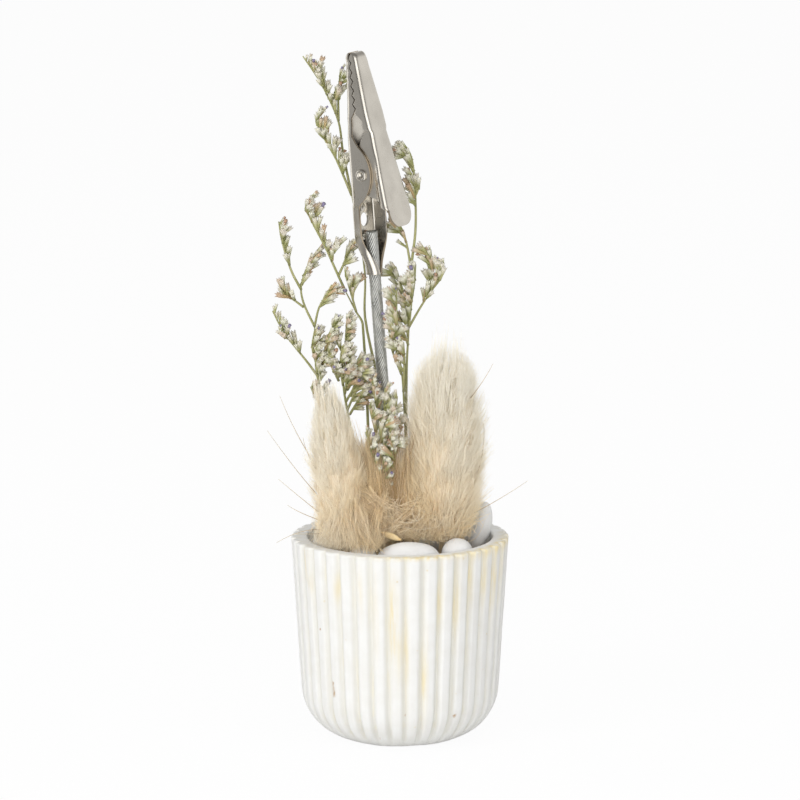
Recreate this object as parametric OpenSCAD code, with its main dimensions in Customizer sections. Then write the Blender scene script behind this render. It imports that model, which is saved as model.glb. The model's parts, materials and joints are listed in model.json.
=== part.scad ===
// Photo clip holder: a ribbed plaster pot of pebbles and dried stems, and a sprung clip on a wire-rope stem.
// Millimetres, +Z up, origin at the centre of the pot's base, front towards -Y.

/* [Pot] */
// Diameter over the ribs at the rim
pot_d = 50; // [49:0.5:52]
// Height from the table to the rim
pot_h = 46.5; // [46:0.5:48]
// Number of upright ribs
rib_count = 38; // [30:1:40]
// Depth of the grooves between the ribs
groove_depth = 0.85; // [0.5:0.05:0.95]
// Share of the ribs' pitch that the flat top of a rib takes
rib_share = 0.48; // [0.4:0.02:0.56]
// Radius of the round foot
foot_r = 12; // [10:0.5:13]
// Draft of the wall, in degrees
pot_draft = 3.65; // [2:0.05:4]
// Thickness of the wall at the rim
pot_wall = 3.8; // [3.4:0.1:3.9]
// Thickness of the floor
pot_floor = 6; // [5:0.5:8]
// Depth of the filling below the rim
fill_drop = 5.5; // [5.5:0.1:6]

/* [Stem] */
// Diameter of the wire rope
cable_d = 2.7; // [2.4:0.1:2.7]
// Lean of the stem and clip to the left, in degrees
stem_lean = 4.2; // [3:0.1:5]
// Height of the lower end of the wire rope above the table
cable_foot_z = 12; // [8:1:20]

/* [Clip] */
// Turn of the clip about the stem, in degrees
clip_turn = 33; // [25:1:40]
// Thickness of the sheet steel
sheet = 0.5; // [0.4:0.05:0.5]
// Length of the jaws from the rivet to the tip
jaw_len = 27.8; // [27:0.1:29]
// Teeth along each edge of a jaw
tooth_count = 6; // [4:1:8]
// Height of a tooth
tooth_h = 0.6; // [0.3:0.05:0.7]
// Radius of the rivet's shank
rivet_r = 0.85; // [0.75:0.05:0.9]
// Radius of the spring wire
spring_wire_r = 0.3; // [0.2:0.05:0.3]

/* [Plants] */
// Length of a floret
floret_len = 2.6; // [2:0.1:2.8]
// Radius of a floret's mouth
floret_r = 0.95; // [0.7:0.05:1]
// Radius of a flower stem at its foot
stem_r = 0.5; // [0.3:0.05:0.6]

/* [Hidden] */
$fn = 64;

// Pot: the wall line and the round foot that it runs into
pot_r = pot_d / 2;
foot_sink = 0.3;
foot_z = foot_r - foot_sink;
foot_x = pot_r - (pot_h - foot_z + foot_r * sin(pot_draft)) * tan(pot_draft) - foot_r * cos(pot_draft);
base_r = foot_x + sqrt(pow(foot_r, 2) - pow(foot_z, 2));
base_step = 0.3;
// Falls of the rings round the foot, in degrees, each with its share of the groove's depth
FOOT_RINGS = [[asin((foot_z - base_step) / foot_r), 0], [55, 0.7], [32, 1], [14, 1], [pot_draft, 1]];
// Points across one rib and groove: place as a share of the pitch, and share of the groove's depth
RIB_POINTS = [
    [-rib_share / 2, 0], [rib_share / 2, 0], [0.32, 0.65], [0.42, 1], [0.58, 1], [0.68, 0.65]
];
rib_turn = 0.3;
fill_z = pot_h - fill_drop;
foam_gap = 0.15;
cavity_corner = 5;

// Clip frame: +X is the way the lever opens, +Y the rivet's axis, +Z towards the tips, origin on the rivet
pivot_pos = [-6.4, 0, 130.3];
spine_back = 3.1;
cable_u = -(spine_back - sheet) + cable_d / 2;
cable_top_w = -13.4;
cable_foot_w = (cable_foot_z - pivot_pos[2]) / cos(stem_lean);
through = 40;
bite_gap = 0.16;
bite_tip = [-2.13, jaw_len - 1.6];
bite_heel = [-0.95, 13.9];
bite_dir = (bite_heel - bite_tip) / norm(bite_heel - bite_tip);
bite_out = [-bite_dir[1], bite_dir[0]];
nose_cap = 0.6;
nose_gap = 0.6;
fixed_nose = bite_tip[0] - nose_gap / 2;
lever_nose = bite_tip[0] + nose_gap / 2;
ear_r = 8.5;
ear_out = 2.33;
ear_low = -6.6;
ear_high = 6.3;
ear_neck = -0.6;
fixed_edge = -2.1;
window_high = 12.8;
window_low = 8.8;
fixed_plan = [[2.2, jaw_len], [3.6, 14], [3.65, 11], [4.25, 7.5], [4.25, -7]];
lever_lean = 0.207;
lever_back = 5.15;
tongue_top = -8;
tongue_half = 5.05;
lever_plan = [[2.2, jaw_len], [3.6, 14], [3.65, -5.2], [tongue_half, tongue_top]];
LEVER_EDGE = [
    [0.9, 12.2], [0.9, 9.6], [-0.9, 6], [-1.5, 1], [-1, -1.6], [0.75, -4.6], [3.5, -5.8], [5.8, -7.9]
];
tongue_end = -12;
tongue_corner = 2.6;
tab_r = 1.9;
pin_gap = 0.07;
rivet_half = 4.25;
rivet_head = 0.35;
rivet_head_r = 1.15;
tail_half = 3.85;
tail_end = -14;
tail_splay = 27;
flange_len = 2.75;
tail_hole_w = -10.7;
tail_hole_r = 1.6;
dimple_r = 0.9;
dimple_h = 0.4;
dimple_w = -8;
barrel_top = -18;
barrel_end = -23.2;
barrel_r = cable_d / 2 + sheet;
barrel_gap = 0.02;
seam_w = 0.3;
funnel_skin = 0.05;
hull_sides = 32;

// Torsion spring: a coil round the rivet, with one leg on each jaw
coil_r = 1.75;
coil_half = 2;
coil_turns = 3.5;
coil_steps = 14;
coil_leave_w = -1.2;
spine_leg = [-8.5, -4];
lever_leg = [-7.4, -6];
leg_gap = 0.05;
spine_ease = 0.15;
lever_ease = 0.3;
spring_sides = 8;

// Pebbles: centre, half sizes, turn about +Z and tilt to the right
PEBBLES = [
    [[2, -15, 44.6], [7.2, 4.4, 3.6], 4, 0],
    [[13, -10.6, 44.6], [3.7, 3.3, 3.6], 0, 0],
    [[18.3, 2.6, 47.6], [2.8, 3.3, 6.4], 0, 14],
    [[-17, -2.4, 44.6], [3.2, 3.8, 3.6], 10, 0],
    [[-8.6, -14.6, 44.2], [3.6, 3.2, 3.2], 35, 0],
    [[-14.2, 9.6, 44.1], [3.2, 3.2, 3.1], 20, 0],
    [[-4.8, 15, 44.4], [5, 4, 3.4], -15, 0],
    [[5.6, 14.6, 44.2], [4.4, 3.8, 3.2], 20, 0],
    [[13.6, 10.6, 44.1], [3.5, 3.2, 3.1], 30, 0],
    [[1.6, -7, 43.8], [3.4, 2.6, 2.8], 20, 0],
    [[7.4, 6.4, 43.9], [3.6, 3.2, 2.9], 0, 0]
];

// Grass heads: foot of the head, its top, its largest radius, and the power that makes its top blunt
GRASS_LEFT = [[-13, -9, 48], [-17.2, -6.8, 82.5], 6.7, 0.55];
GRASS_MIDDLE = [[-6, -3, 46], [-6.6, -2.4, 67], 2.9, 0.55];
GRASS_RIGHT = [[9.6, -4.6, 48], [10.8, -4.4, 91], 8.6, 0.3];
grass_steps = 24;
head_low = 0.6;
foot_blunt = 0.62;
stalk_r = 0.7;
stalk_len = 16;

// Sprigs: each branch has its floret count, the bare share of its length, and the points that it follows
SPRIG_TALL_LEFT = [
    [0, 1, [
        [-3, 6, 30], [-3.5, 6, 50], [-5, 6, 80], [-8, 6.5, 96], [-8, 7, 106],
        [-9.5, 7.5, 116], [-11, 7.5, 124]
    ]],
    [12, 0.15, [[-11, 7.5, 124], [-14.5, 6.5, 132.5], [-17, 5.5, 137], [-19, 5, 141], [-18.5, 5, 143.5]]],
    [14, 0.45, [
        [-11, 7.5, 124], [-13, 8, 134], [-14, 8, 141], [-17, 7.5, 148], [-19, 7, 151.5], [-22, 6.5, 156]
    ]],
    [5, 0.4, [[-14, 8, 141], [-14, 8.5, 147], [-13.5, 8.5, 153]]]
];
SPRIG_MID_LEFT = [
    [0, 1, [[-6.5, 3, 30], [-7, 3, 60], [-8.5, 3, 95], [-10, 2.5, 98], [-12.5, 2, 103]]],
    [16, 0.3, [
        [-12.5, 2, 103], [-14, 1, 106.5], [-17, -0.5, 113.5],
        [-20, -1.5, 119.5], [-21, -2, 122.5], [-20, -2, 125.5]
    ]],
    [6, 0.35, [[-14, 1, 106.5], [-12.5, 1.5, 110], [-11.5, 2, 114]]],
    [5, 0.4, [[-10, 2.5, 98], [-11, 1, 102], [-12.5, 0, 107]]]
];
SPRIG_FAR_LEFT = [
    [0, 1, [[-8.5, 6.5, 30], [-10.5, 7.5, 50], [-15.5, 7, 70], [-19, 4, 83], [-19.5, 3, 94.5]]],
    [9, 0.5, [[-19.5, 3, 94.5], [-22, 3, 100], [-22.5, 3, 104], [-20.5, 3, 109.5], [-18, 3.5, 113]]],
    [9, 0.35, [[-22.5, 3, 103], [-24.5, 2, 107], [-26, 1.5, 111.5], [-27, 1, 115.5], [-27.5, 1, 119]]],
    [5, 0.4, [[-22, 3, 99], [-24.5, 2, 101], [-26.5, 1.5, 102]]],
    [7, 0.35, [[-19.5, 3, 94.5], [-18.5, 1, 99], [-17, -1, 102], [-15.5, -2.5, 105]]],
    [8, 0.4, [[-19, 4, 83], [-21, 3, 86], [-24, 2, 90], [-26.5, 1, 93.5], [-29, 0.5, 98.5]]]
];
SPRIG_SHORT_LEFT = [
    [0, 1, [[-6, 8.5, 30], [-8, 8.5, 50], [-12, 5, 74], [-13, 2, 82], [-12.5, 0, 88]]],
    [9, 0.2, [[-12.5, 0, 88], [-12.3, -1.5, 93], [-12, -2.5, 98]]],
    [8, 0.25, [[-12.5, 0, 88], [-14.5, -1, 92], [-15.5, -1.5, 96]]],
    [5, 0.4, [[-13, 2, 82], [-11, 0, 85.5], [-9.5, -1.5, 86.5]]]
];
SPRIG_LOW_CENTRE = [
    [0, 1, [[-2, -5, 32], [-2.5, -5, 50], [-3, -5, 62]]],
    [10, 0.15, [[-3, -5, 62], [-4, -4.5, 70], [-5.5, -4, 78], [-6.5, -4, 83.5]]],
    [9, 0.2, [[-3, -5, 62], [-2, -4.5, 70], [-2.5, -4, 77]]],
    [6, 0.3, [[-3, -5, 60], [-2.5, -7, 69], [-2.5, -8, 74]]]
];
SPRIG_TALL_RIGHT = [
    [0, 1, [[2, 5, 30], [1.5, 5, 60], [1.5, 4.5, 84], [2, 4.5, 94], [2.5, 4.5, 108]]],
    [15, 0.35, [[2.5, 4.5, 108], [3.5, 5, 116], [3.5, 5.5, 124], [3, 6, 131], [2, 6, 134.5], [0, 6, 136.5]]],
    [7, 0.3, [[2.5, 4.5, 108], [1, 6, 115], [-1, 7, 118]]],
    [12, 0.35, [[2, 4.5, 94], [4.5, 4, 98.5], [7, 3.5, 102.5], [9.5, 3, 106], [10, 3, 109]]],
    [5, 0.4, [[6.8, 3.6, 102], [7.5, 4.5, 107], [7, 5, 112]]],
    [7, 0.3, [[2, 4.5, 94], [0.5, 5, 103], [-1, 5.5, 108]]]
];
SPRIG_LOW_RIGHT = [
    [0, 1, [[2.2, 0, 32], [1.6, 0, 60], [0.8, -0.5, 80], [0, -1, 88]]],
    [10, 0.15, [[0, -1, 88], [-0.6, -2, 95], [-0.8, -2.4, 104]]],
    [6, 0.3, [[0.8, -0.5, 80], [1, -2.5, 88], [0.8, -3.5, 92]]]
];
branch_sides = 5;
branch_steps = 2;
twig_r = 0.32;
tip_r = 0.15;
floret_spread = 48;
floret_turn = 137.5;
floret_foot_r = 0.35;
floret_sides = 5;

// Points and directions

function unit(v) = v / norm(v);
function span(p, q, s) = p + (q - p) * s;
function clamp_index(p, i) = min(max(i, 0), len(p) - 1);
function tangent(p, i) = unit(p[clamp_index(p, i + 1)] - p[clamp_index(p, i - 1)]);
function spline(a, b, c, d, s) =
    0.5 * (2 * b + (c - a) * s + (2 * a - 5 * b + 4 * c - d) * s * s + (3 * b - a - 3 * c + d) * s * s * s);
function smooth(p, steps) = [
    for (i = [0 : len(p) - 2], k = [0 : steps - 1])
        spline(p[clamp_index(p, i - 1)], p[i], p[i + 1], p[clamp_index(p, i + 2)], k / steps),
    p[len(p) - 1]
];
function along(p, s) =
    let (x = s * (len(p) - 1), i = min(floor(x), len(p) - 2))
    span(p[i], p[i + 1], x - i);
function heading(p, s) = tangent(p, round(s * (len(p) - 1)));
function flip(list) = [for (i = [len(list) - 1 : -1 : 0]) list[i]];

// A closed body through rings of points, from its first ring to its last
module ringed(points, sides) {
    count = len(points) / sides;
    walls = [
        for (i = [0 : count - 2], k = [0 : sides - 1])
            let (n = (k + 1) % sides)
            [i * sides + k, (i + 1) * sides + k, (i + 1) * sides + n, i * sides + n]
    ];
    start_cap = [for (k = [0 : sides - 1]) k];
    end_cap = [for (k = [sides - 1 : -1 : 0]) (count - 1) * sides + k];
    polyhedron(points = points, faces = concat([start_cap], walls, [end_cap]), convexity = 4);
}

// A round rod that follows points, with its cross-sections squared to a side direction
module rod(p, r_start, r_end, sides, side) {
    count = len(p);
    ringed([
        for (i = [0 : count - 1], k = [0 : sides - 1])
            let (
                t = tangent(p, i),
                a = unit(cross(t, side)),
                b = cross(t, a),
                r = span(r_start, r_end, i / (count - 1)),
                turn = 360 * k / sides
            )
            p[i] + r * (cos(turn) * a + sin(turn) * b)
    ], sides);
}

// Turns +Z to a direction
module aim(d) {
    rotate([0, acos(d[2]), atan2(d[1], d[0])])
        children();
}

// Pot

// Rings of the pot from its base, over the rim and down to its inner floor:
// radius, height, the way out of the wall, and the share of the groove's depth
function pot_rings() = concat(
    [
        for (ring = FOOT_RINGS)
            let (out = [cos(ring[0]), -sin(ring[0])])
            [foot_x + foot_r * out[0], foot_z + foot_r * out[1], out, ring[1]]
    ],
    [[pot_r, pot_h, [1, 0], 1]],
    [for (p = flip(cavity_line(0, pot_h))) [p[0], p[1], [1, 0], 0]]
);

// Line of the cavity's wall from its floor to a height, in from the wall by a gap
function cavity_line(gap, top) =
    let (
        inner = pot_r - pot_wall - gap,
        floor_r = inner - (pot_h - pot_floor) * tan(pot_draft)
    )
    [
        [floor_r - cavity_corner, pot_floor + gap],
        [floor_r + cavity_corner * tan(pot_draft), pot_floor + gap + cavity_corner],
        [inner - (pot_h - top) * tan(pot_draft), top]
    ];

// The ribbed cup stands on a plain disc, which is its flat base
module pot() {
    color("ivory") {
        ringed([
            for (ring = pot_rings(), i = [0 : rib_count - 1], p = RIB_POINTS)
                let (
                    turn = 360 * (i + rib_turn + p[0]) / rib_count,
                    dip = groove_depth * ring[3] * p[1],
                    r = ring[0] - dip * ring[2][0]
                )
                [r * cos(turn), r * sin(turn), ring[1] - dip * ring[2][1]]
        ], rib_count * len(RIB_POINTS));
        cylinder(r = base_r, h = 2 * base_step);
    }
}

module foam_core() {
    line = cavity_line(foam_gap, fill_z);
    color("darkolivegreen")
        rotate_extrude()
            polygon(concat([[0, line[0][1]]], line, [[0, fill_z]]));
}

// Stem and clip

module clip_place() {
    translate(pivot_pos)
        rotate([0, -stem_lean, 0])
            rotate([0, 0, -clip_turn])
                children();
}

module stem_cable() {
    color("silver")
        clip_place()
            translate([cable_u, 0, cable_foot_w])
                cylinder(d = cable_d, h = cable_top_w - cable_foot_w);
}

// Side view (opening way, height) drawn right through the clip
module side_view() {
    rotate([90, 0, 0])
        linear_extrude(through, center = true)
            children();
}

// View on the spine (width, height) drawn right through the clip
module spine_view() {
    rotate([90, 0, 90])
        linear_extrude(through, center = true)
            children();
}

function mirrored(plan) = concat(plan, flip([for (p = plan) [-p[0], p[1]]]));
function inset(plan) = [for (p = plan) [p[0] - sheet, p[1]]];

module wall_bands(plan) {
    polygon(concat(plan, flip(inset(plan))));
    mirror([1, 0])
        polygon(concat(plan, flip(inset(plan))));
}

function bite(shift) = [
    for (i = [0 : 2 * tooth_count])
        span(bite_tip, bite_heel, i / (2 * tooth_count))
            + bite_out * (shift + (i % 2 == 0 ? -tooth_h / 2 : tooth_h / 2))
];

module fixed_side() {
    polygon(concat(
        [[-spine_back, jaw_len], [fixed_nose, jaw_len]],
        bite(-bite_gap / 2),
        [[fixed_edge, window_high], [fixed_edge, window_low], [ear_neck, ear_high]],
        [[fixed_edge, ear_low], [-spine_back, ear_low]]
    ));
    intersection() {
        translate([ear_out - ear_r, 0])
            circle(ear_r);
        translate([-spine_back, ear_low])
            square([2 * spine_back, ear_high - ear_low]);
    }
}

module tail_channel() {
    flange = [sin(tail_splay), cos(tail_splay)];
    inner = [tail_half - sheet * cos(tail_splay), -spine_back + sheet * sin(tail_splay)];
    tip = [tail_half, -spine_back] + flange_len * flange;
    half = [
        [-spine_back, tail_half],
        [tip[1], tip[0]],
        [tip[1] + sheet * sin(tail_splay), tip[0] - sheet * cos(tail_splay)],
        [-spine_back + sheet, inner[0] + (sheet - sheet * sin(tail_splay)) * tan(tail_splay)]
    ];
    polygon(concat(half, flip([for (p = half) [p[0], -p[1]]])));
}

module tail_block(grow, low, high) {
    translate([0, 0, low])
        linear_extrude(high - low)
            polygon([
                [-spine_back + grow, tail_half - grow],
                [-spine_back + flange_len + grow, tail_half + flange_len * sin(tail_splay) - grow],
                [-spine_back + flange_len + grow, grow - tail_half - flange_len * sin(tail_splay)],
                [-spine_back + grow, grow - tail_half]
            ]);
}

module crimp_funnel() {
    difference() {
        hull() {
            tail_block(0, tail_end - funnel_skin, tail_end);
            translate([cable_u, 0, barrel_top])
                cylinder(r = barrel_r, h = funnel_skin, $fn = hull_sides);
        }
        hull() {
            tail_block(sheet, tail_end, tail_end + funnel_skin);
            translate([cable_u, 0, barrel_top - funnel_skin])
                cylinder(r = cable_d / 2 + barrel_gap, h = funnel_skin, $fn = hull_sides);
        }
    }
}

module crimp_barrel() {
    translate([cable_u, 0, barrel_end])
        difference() {
            cylinder(r = barrel_r, h = barrel_top - barrel_end);
            translate([0, 0, -1])
                cylinder(r = cable_d / 2 + barrel_gap, h = barrel_top - barrel_end + 2);
            translate([0, -seam_w / 2, -1])
                cube([2 * barrel_r, seam_w, barrel_top - barrel_end + 2]);
        }
}

module clip_fixed_jaw() {
    color("silver")
        clip_place() {
            difference() {
                union() {
                    intersection() {
                        side_view()
                            fixed_side();
                        spine_view()
                            wall_bands(fixed_plan);
                    }
                    intersection() {
                        side_view()
                            translate([-spine_back, ear_low])
                                square([sheet, jaw_len - ear_low]);
                        spine_view()
                            polygon(mirrored(fixed_plan));
                    }
                    intersection() {
                        side_view()
                            translate([-spine_back, jaw_len - nose_cap])
                                square([fixed_nose + spine_back, nose_cap]);
                        spine_view()
                            polygon(mirrored(fixed_plan));
                    }
                    translate([0, 0, tail_end])
                        linear_extrude(ear_low - tail_end)
                            tail_channel();
                    translate([-spine_back, 0, dimple_w])
                        rotate([0, 90, 0])
                            cylinder(r = dimple_r, h = sheet + dimple_h);
                }
                rotate([90, 0, 0])
                    cylinder(r = rivet_r + barrel_gap, h = through, center = true);
                translate([-2 * spine_back, 0, tail_hole_w])
                    rotate([0, 90, 0])
                        cylinder(r = tail_hole_r, h = 2 * spine_back);
            }
            crimp_funnel();
            crimp_barrel();
        }
}

function lever_line(w) = lever_back - lever_lean * w;

module lever_side() {
    polygon(concat(
        [[lever_line(jaw_len), jaw_len], [lever_nose, jaw_len]],
        bite(bite_gap / 2),
        LEVER_EDGE,
        [[lever_line(tongue_top), tongue_top]]
    ));
    circle(tab_r);
}

module lever_top() {
    flat_half = tongue_half - tongue_corner;
    polygon(mirrored(concat(lever_plan, [[tongue_half, tongue_end + tongue_corner]])));
    for (side = [-1, 1])
        translate([side * flat_half, tongue_end + tongue_corner])
            circle(tongue_corner);
    translate([-flat_half, tongue_end])
        square([2 * flat_half, 2 * tongue_corner]);
}

module clip_lever_jaw() {
    color("silver")
        clip_place()
            difference() {
                union() {
                    intersection() {
                        side_view()
                            lever_side();
                        spine_view()
                            wall_bands(lever_plan);
                    }
                    intersection() {
                        side_view()
                            polygon([
                                [lever_line(jaw_len), jaw_len],
                                [lever_line(jaw_len) - sheet, jaw_len],
                                [lever_line(tongue_end) - sheet, tongue_end],
                                [lever_line(tongue_end), tongue_end]
                            ]);
                        spine_view()
                            lever_top();
                    }
                    intersection() {
                        side_view()
                            translate([lever_nose, jaw_len - nose_cap])
                                square([lever_line(jaw_len) - lever_nose, nose_cap]);
                        spine_view()
                            polygon(mirrored(lever_plan));
                    }
                }
                rotate([90, 0, 0])
                    cylinder(r = rivet_r + pin_gap, h = through, center = true);
            }
}

module pivot_rivet() {
    half = [
        [rivet_r, rivet_half],
        [rivet_head_r, rivet_half],
        [rivet_head_r, rivet_half + rivet_head / 2],
        [rivet_r, rivet_half + rivet_head],
        [rivet_r / 2, rivet_half + rivet_head],
        [0, rivet_half]
    ];
    color("silver")
        clip_place()
            rotate([90, 0, 0])
                rotate_extrude()
                    polygon(concat(half, flip([for (p = half) [p[0], -p[1]]])));
}

function coil_point(s) =
    let (a = 180 - 360 * coil_turns * s)
    [coil_r * cos(a), span(-coil_half, coil_half, s), coil_r * sin(a)];

module torsion_spring() {
    coil_count = round(coil_turns * coil_steps);
    seat = -(spine_back - sheet) + spring_wire_r + barrel_gap;
    lever_seat = sheet + spring_wire_r + leg_gap;
    path = concat(
        [for (w = spine_leg) [seat, -coil_half, w]],
        [[-coil_r - spine_ease, -coil_half, coil_leave_w]],
        [for (i = [0 : coil_count]) coil_point(i / coil_count)],
        [[coil_r + lever_ease, coil_half, coil_leave_w]],
        [for (w = flip(lever_leg)) [lever_line(w) - lever_seat, coil_half, w]]
    );
    color("gray")
        clip_place()
            rod(path, spring_wire_r, spring_wire_r, spring_sides, [0, 1, 0]);
}

// Filling

module pebble(i) {
    stone = PEBBLES[i];
    color("white")
        translate(stone[0])
            rotate([0, stone[3], stone[2]])
                scale(stone[1])
                    sphere(1);
}

// Radius of a head at a share of its height, widest where the share to the power head_low is a half
function head_r(head, s) =
    let (turn = 180 * pow(s, head_low))
    head[2] * pow(max(0, sin(turn)), turn < 90 ? foot_blunt : head[3]);

module grass(head) {
    axis = head[1] - head[0];
    tall = norm(axis);
    color("wheat")
        translate(head[0])
            aim(unit(axis)) {
                rotate_extrude()
                    polygon([
                        for (i = [0 : grass_steps])
                            let (s = i / grass_steps)
                            [head_r(head, s), tall * s]
                    ]);
                translate([0, 0, -stalk_len])
                    cylinder(r = stalk_r, h = stalk_len + tall / 2);
            }
}

// A five-sided funnel
module floret() {
    hull()
        cylinder(r1 = floret_foot_r, r2 = floret_r, h = floret_len, $fn = floret_sides);
}

module branch(count, bare, points, r) {
    path = smooth(points, branch_steps);
    side = [0, 1, 0];
    rod(path, r, tip_r, branch_sides, side);
    for (i = [0 : 1 : count - 1]) {
        s = span(bare, 1, count > 1 ? i / (count - 1) : 1);
        t = heading(path, s);
        a = unit(cross(t, side));
        b = cross(t, a);
        out = cos(floret_turn * i) * a + sin(floret_turn * i) * b;
        translate(along(path, s))
            aim(unit(cos(floret_spread) * t + sin(floret_spread) * out))
                floret();
    }
}

module sprig(branches) {
    color("darkkhaki")
        for (b = branches)
            branch(b[0], b[1], b[2], b[0] == 0 ? stem_r : twig_r);
}

pot();
foam_core();
stem_cable();
clip_fixed_jaw();
clip_lever_jaw();
pivot_rivet();
torsion_spring();
pebble(0);  // pebble_1
pebble(1);  // pebble_2
pebble(2);  // pebble_3
pebble(3);  // pebble_4
pebble(4);  // pebble_5
pebble(5);  // pebble_6
pebble(6);  // pebble_7
pebble(7);  // pebble_8
pebble(8);  // pebble_9
pebble(9);  // pebble_10
pebble(10);  // pebble_11
grass(GRASS_LEFT);  // grass_left
grass(GRASS_MIDDLE);  // grass_middle
grass(GRASS_RIGHT);  // grass_right
sprig(SPRIG_TALL_LEFT);  // sprig_tall_left
sprig(SPRIG_MID_LEFT);  // sprig_mid_left
sprig(SPRIG_FAR_LEFT);  // sprig_far_left
sprig(SPRIG_SHORT_LEFT);  // sprig_short_left
sprig(SPRIG_LOW_CENTRE);  // sprig_low_centre
sprig(SPRIG_TALL_RIGHT);  // sprig_tall_right
sprig(SPRIG_LOW_RIGHT);  // sprig_low_right
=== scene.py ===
import json
import math
import random

import bmesh
import bpy
import numpy as np
from mathutils import Matrix, Vector, noise


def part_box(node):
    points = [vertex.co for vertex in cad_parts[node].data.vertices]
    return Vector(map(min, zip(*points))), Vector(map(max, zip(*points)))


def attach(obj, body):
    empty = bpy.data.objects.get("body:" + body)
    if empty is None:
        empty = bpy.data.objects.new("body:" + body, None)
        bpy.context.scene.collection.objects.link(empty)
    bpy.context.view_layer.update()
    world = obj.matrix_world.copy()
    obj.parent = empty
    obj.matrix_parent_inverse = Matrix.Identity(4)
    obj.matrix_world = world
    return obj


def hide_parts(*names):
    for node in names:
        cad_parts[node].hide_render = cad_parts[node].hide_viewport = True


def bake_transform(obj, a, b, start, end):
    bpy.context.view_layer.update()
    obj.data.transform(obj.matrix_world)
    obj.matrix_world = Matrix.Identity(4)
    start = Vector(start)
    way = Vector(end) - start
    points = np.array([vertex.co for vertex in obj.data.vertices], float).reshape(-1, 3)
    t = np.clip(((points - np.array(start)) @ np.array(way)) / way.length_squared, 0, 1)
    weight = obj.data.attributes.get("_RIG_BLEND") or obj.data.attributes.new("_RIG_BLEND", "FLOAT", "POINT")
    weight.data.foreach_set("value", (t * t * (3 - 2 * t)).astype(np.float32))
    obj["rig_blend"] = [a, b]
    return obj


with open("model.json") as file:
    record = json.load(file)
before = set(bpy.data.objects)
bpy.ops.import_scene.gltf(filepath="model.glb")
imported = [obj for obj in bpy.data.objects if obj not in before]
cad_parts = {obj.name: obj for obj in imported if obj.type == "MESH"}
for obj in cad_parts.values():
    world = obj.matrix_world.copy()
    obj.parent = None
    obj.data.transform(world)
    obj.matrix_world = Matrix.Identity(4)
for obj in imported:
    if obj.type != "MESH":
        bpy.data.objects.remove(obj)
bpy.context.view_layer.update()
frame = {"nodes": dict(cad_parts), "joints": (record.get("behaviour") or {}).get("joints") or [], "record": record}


# Camera
# A long lens a metre in front of the holder and a little above it, level with the middle of the stem.
MM = 0.001
LENS_MM = 197.1
CAMERA_DISTANCE = 1.0
CAMERA_RISE = math.radians(10.55)
AIM_HEIGHT = 78 * MM


def placed(name, data):
    """An object of a camera, mesh, curve or lamp, put into the scene."""
    made = bpy.data.objects.new(name, data)
    bpy.context.scene.collection.objects.link(made)
    return made


camera = placed("camera", bpy.data.cameras.new("camera"))
camera_back = Vector((0, -math.cos(CAMERA_RISE), math.sin(CAMERA_RISE)))
camera.location = Vector((0, 0, AIM_HEIGHT)) + CAMERA_DISTANCE * camera_back
camera.rotation_euler = (-camera_back).to_track_quat("-Z", "Y").to_euler()
camera.data.lens = LENS_MM
bpy.context.scene.camera = camera


# Pot
# A small cup cast in white plaster, with upright ribs left by its mould and a round foot.
# The cast is chalky and matt, with air bubbles, a few chips, and ochre stains down its grooves.
RIBS = 38
RIB_TURN = 0.3
RIB_STEPS = 12
GROOVE_DEPTH = 0.95 * MM
GROOVE_HALF = 0.27
GROOVE_FULL = 0.75
FOOT_R = 12 * MM
FOOT_SINK = 0.3 * MM
DRAFT = math.radians(3.65)
POT_WALL = 3.8 * MM
POT_FLOOR = 6 * MM
RIM_ROUND = 0.5 * MM
GROOVE_FADE = (0.1 * MM, 4.5 * MM)
SKIN_DEEP = 2.6 * MM
SKIN_FADE = 2 * MM
FOOT_STEPS = 18
WALL_STEPS = 64
ROUND_STEPS = 5
CAVITY_STEPS = 24
MERGE = 0.002 * MM
# Unevenness of the cast: height and length of its waves
CAST_WAVES = [(0.091 * MM, 7 * MM), (0.035 * MM, 1.6 * MM)]
CHIP_GRAIN = 0.4 * MM
# Stains: angle round the pot and half width in degrees, height and half height in mm, strength
STAINS = [
    (-94, 1.9, 31, 8.5, 1.0), (-90, 1.6, 27, 9, 0.5), (-86.5, 1.5, 24, 10, 0.45), (-76, 1.6, 19, 8, 0.8),
    (-68, 1.5, 38, 6, 0.6), (-58, 1.8, 36, 7, 0.75), (-49, 1.8, 39, 6, 0.6), (-39, 2, 40, 6, 0.8),
    (-29, 2, 39, 7, 0.9), (-20, 2.5, 41, 6, 0.9), (-103, 1.5, 33, 9, 0.35), (-112, 2, 38, 6, 0.3),
    (-126, 2, 38, 3, 0.45), (-150, 3, 43, 3, 0.6), (-147, 2, 38, 3, 0.4), (-78, 24, 46.5, 0.5, 1.0),
    (-34, 24, 46.4, 1.6, 0.75), (-8, 14, 46.4, 1.4, 0.5), (60, 2, 30, 10, 0.6), (98, 2, 34, 8, 0.5),
    (140, 2, 28, 9, 0.6), (20, 2, 32, 8, 0.5),
]
# Chips: angle round the pot in degrees, height, radius and depth in mm
CHIPS = [
    (-131.5, 13.2, 1.0, 0.4), (-131.8, 14.4, 0.9, 0.35), (-132.2, 15.8, 0.9, 0.3), (-132.8, 17.6, 0.5, 0.25),
    (-56, 8.2, 0.7, 0.5), (-87, 9.5, 0.5, 0.25), (-104, 3, 0.6, 0.3), (-140, 28, 0.5, 0.2),
    (35, 20, 0.7, 0.3), (120, 12, 0.8, 0.3),
]
pot_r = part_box("pot")[1].x
pot_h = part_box("pot")[1].z
foot_z = FOOT_R - FOOT_SINK
foot_x = pot_r - (pot_h - foot_z + FOOT_R * math.sin(DRAFT)) * math.tan(DRAFT) - FOOT_R * math.cos(DRAFT)


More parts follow.
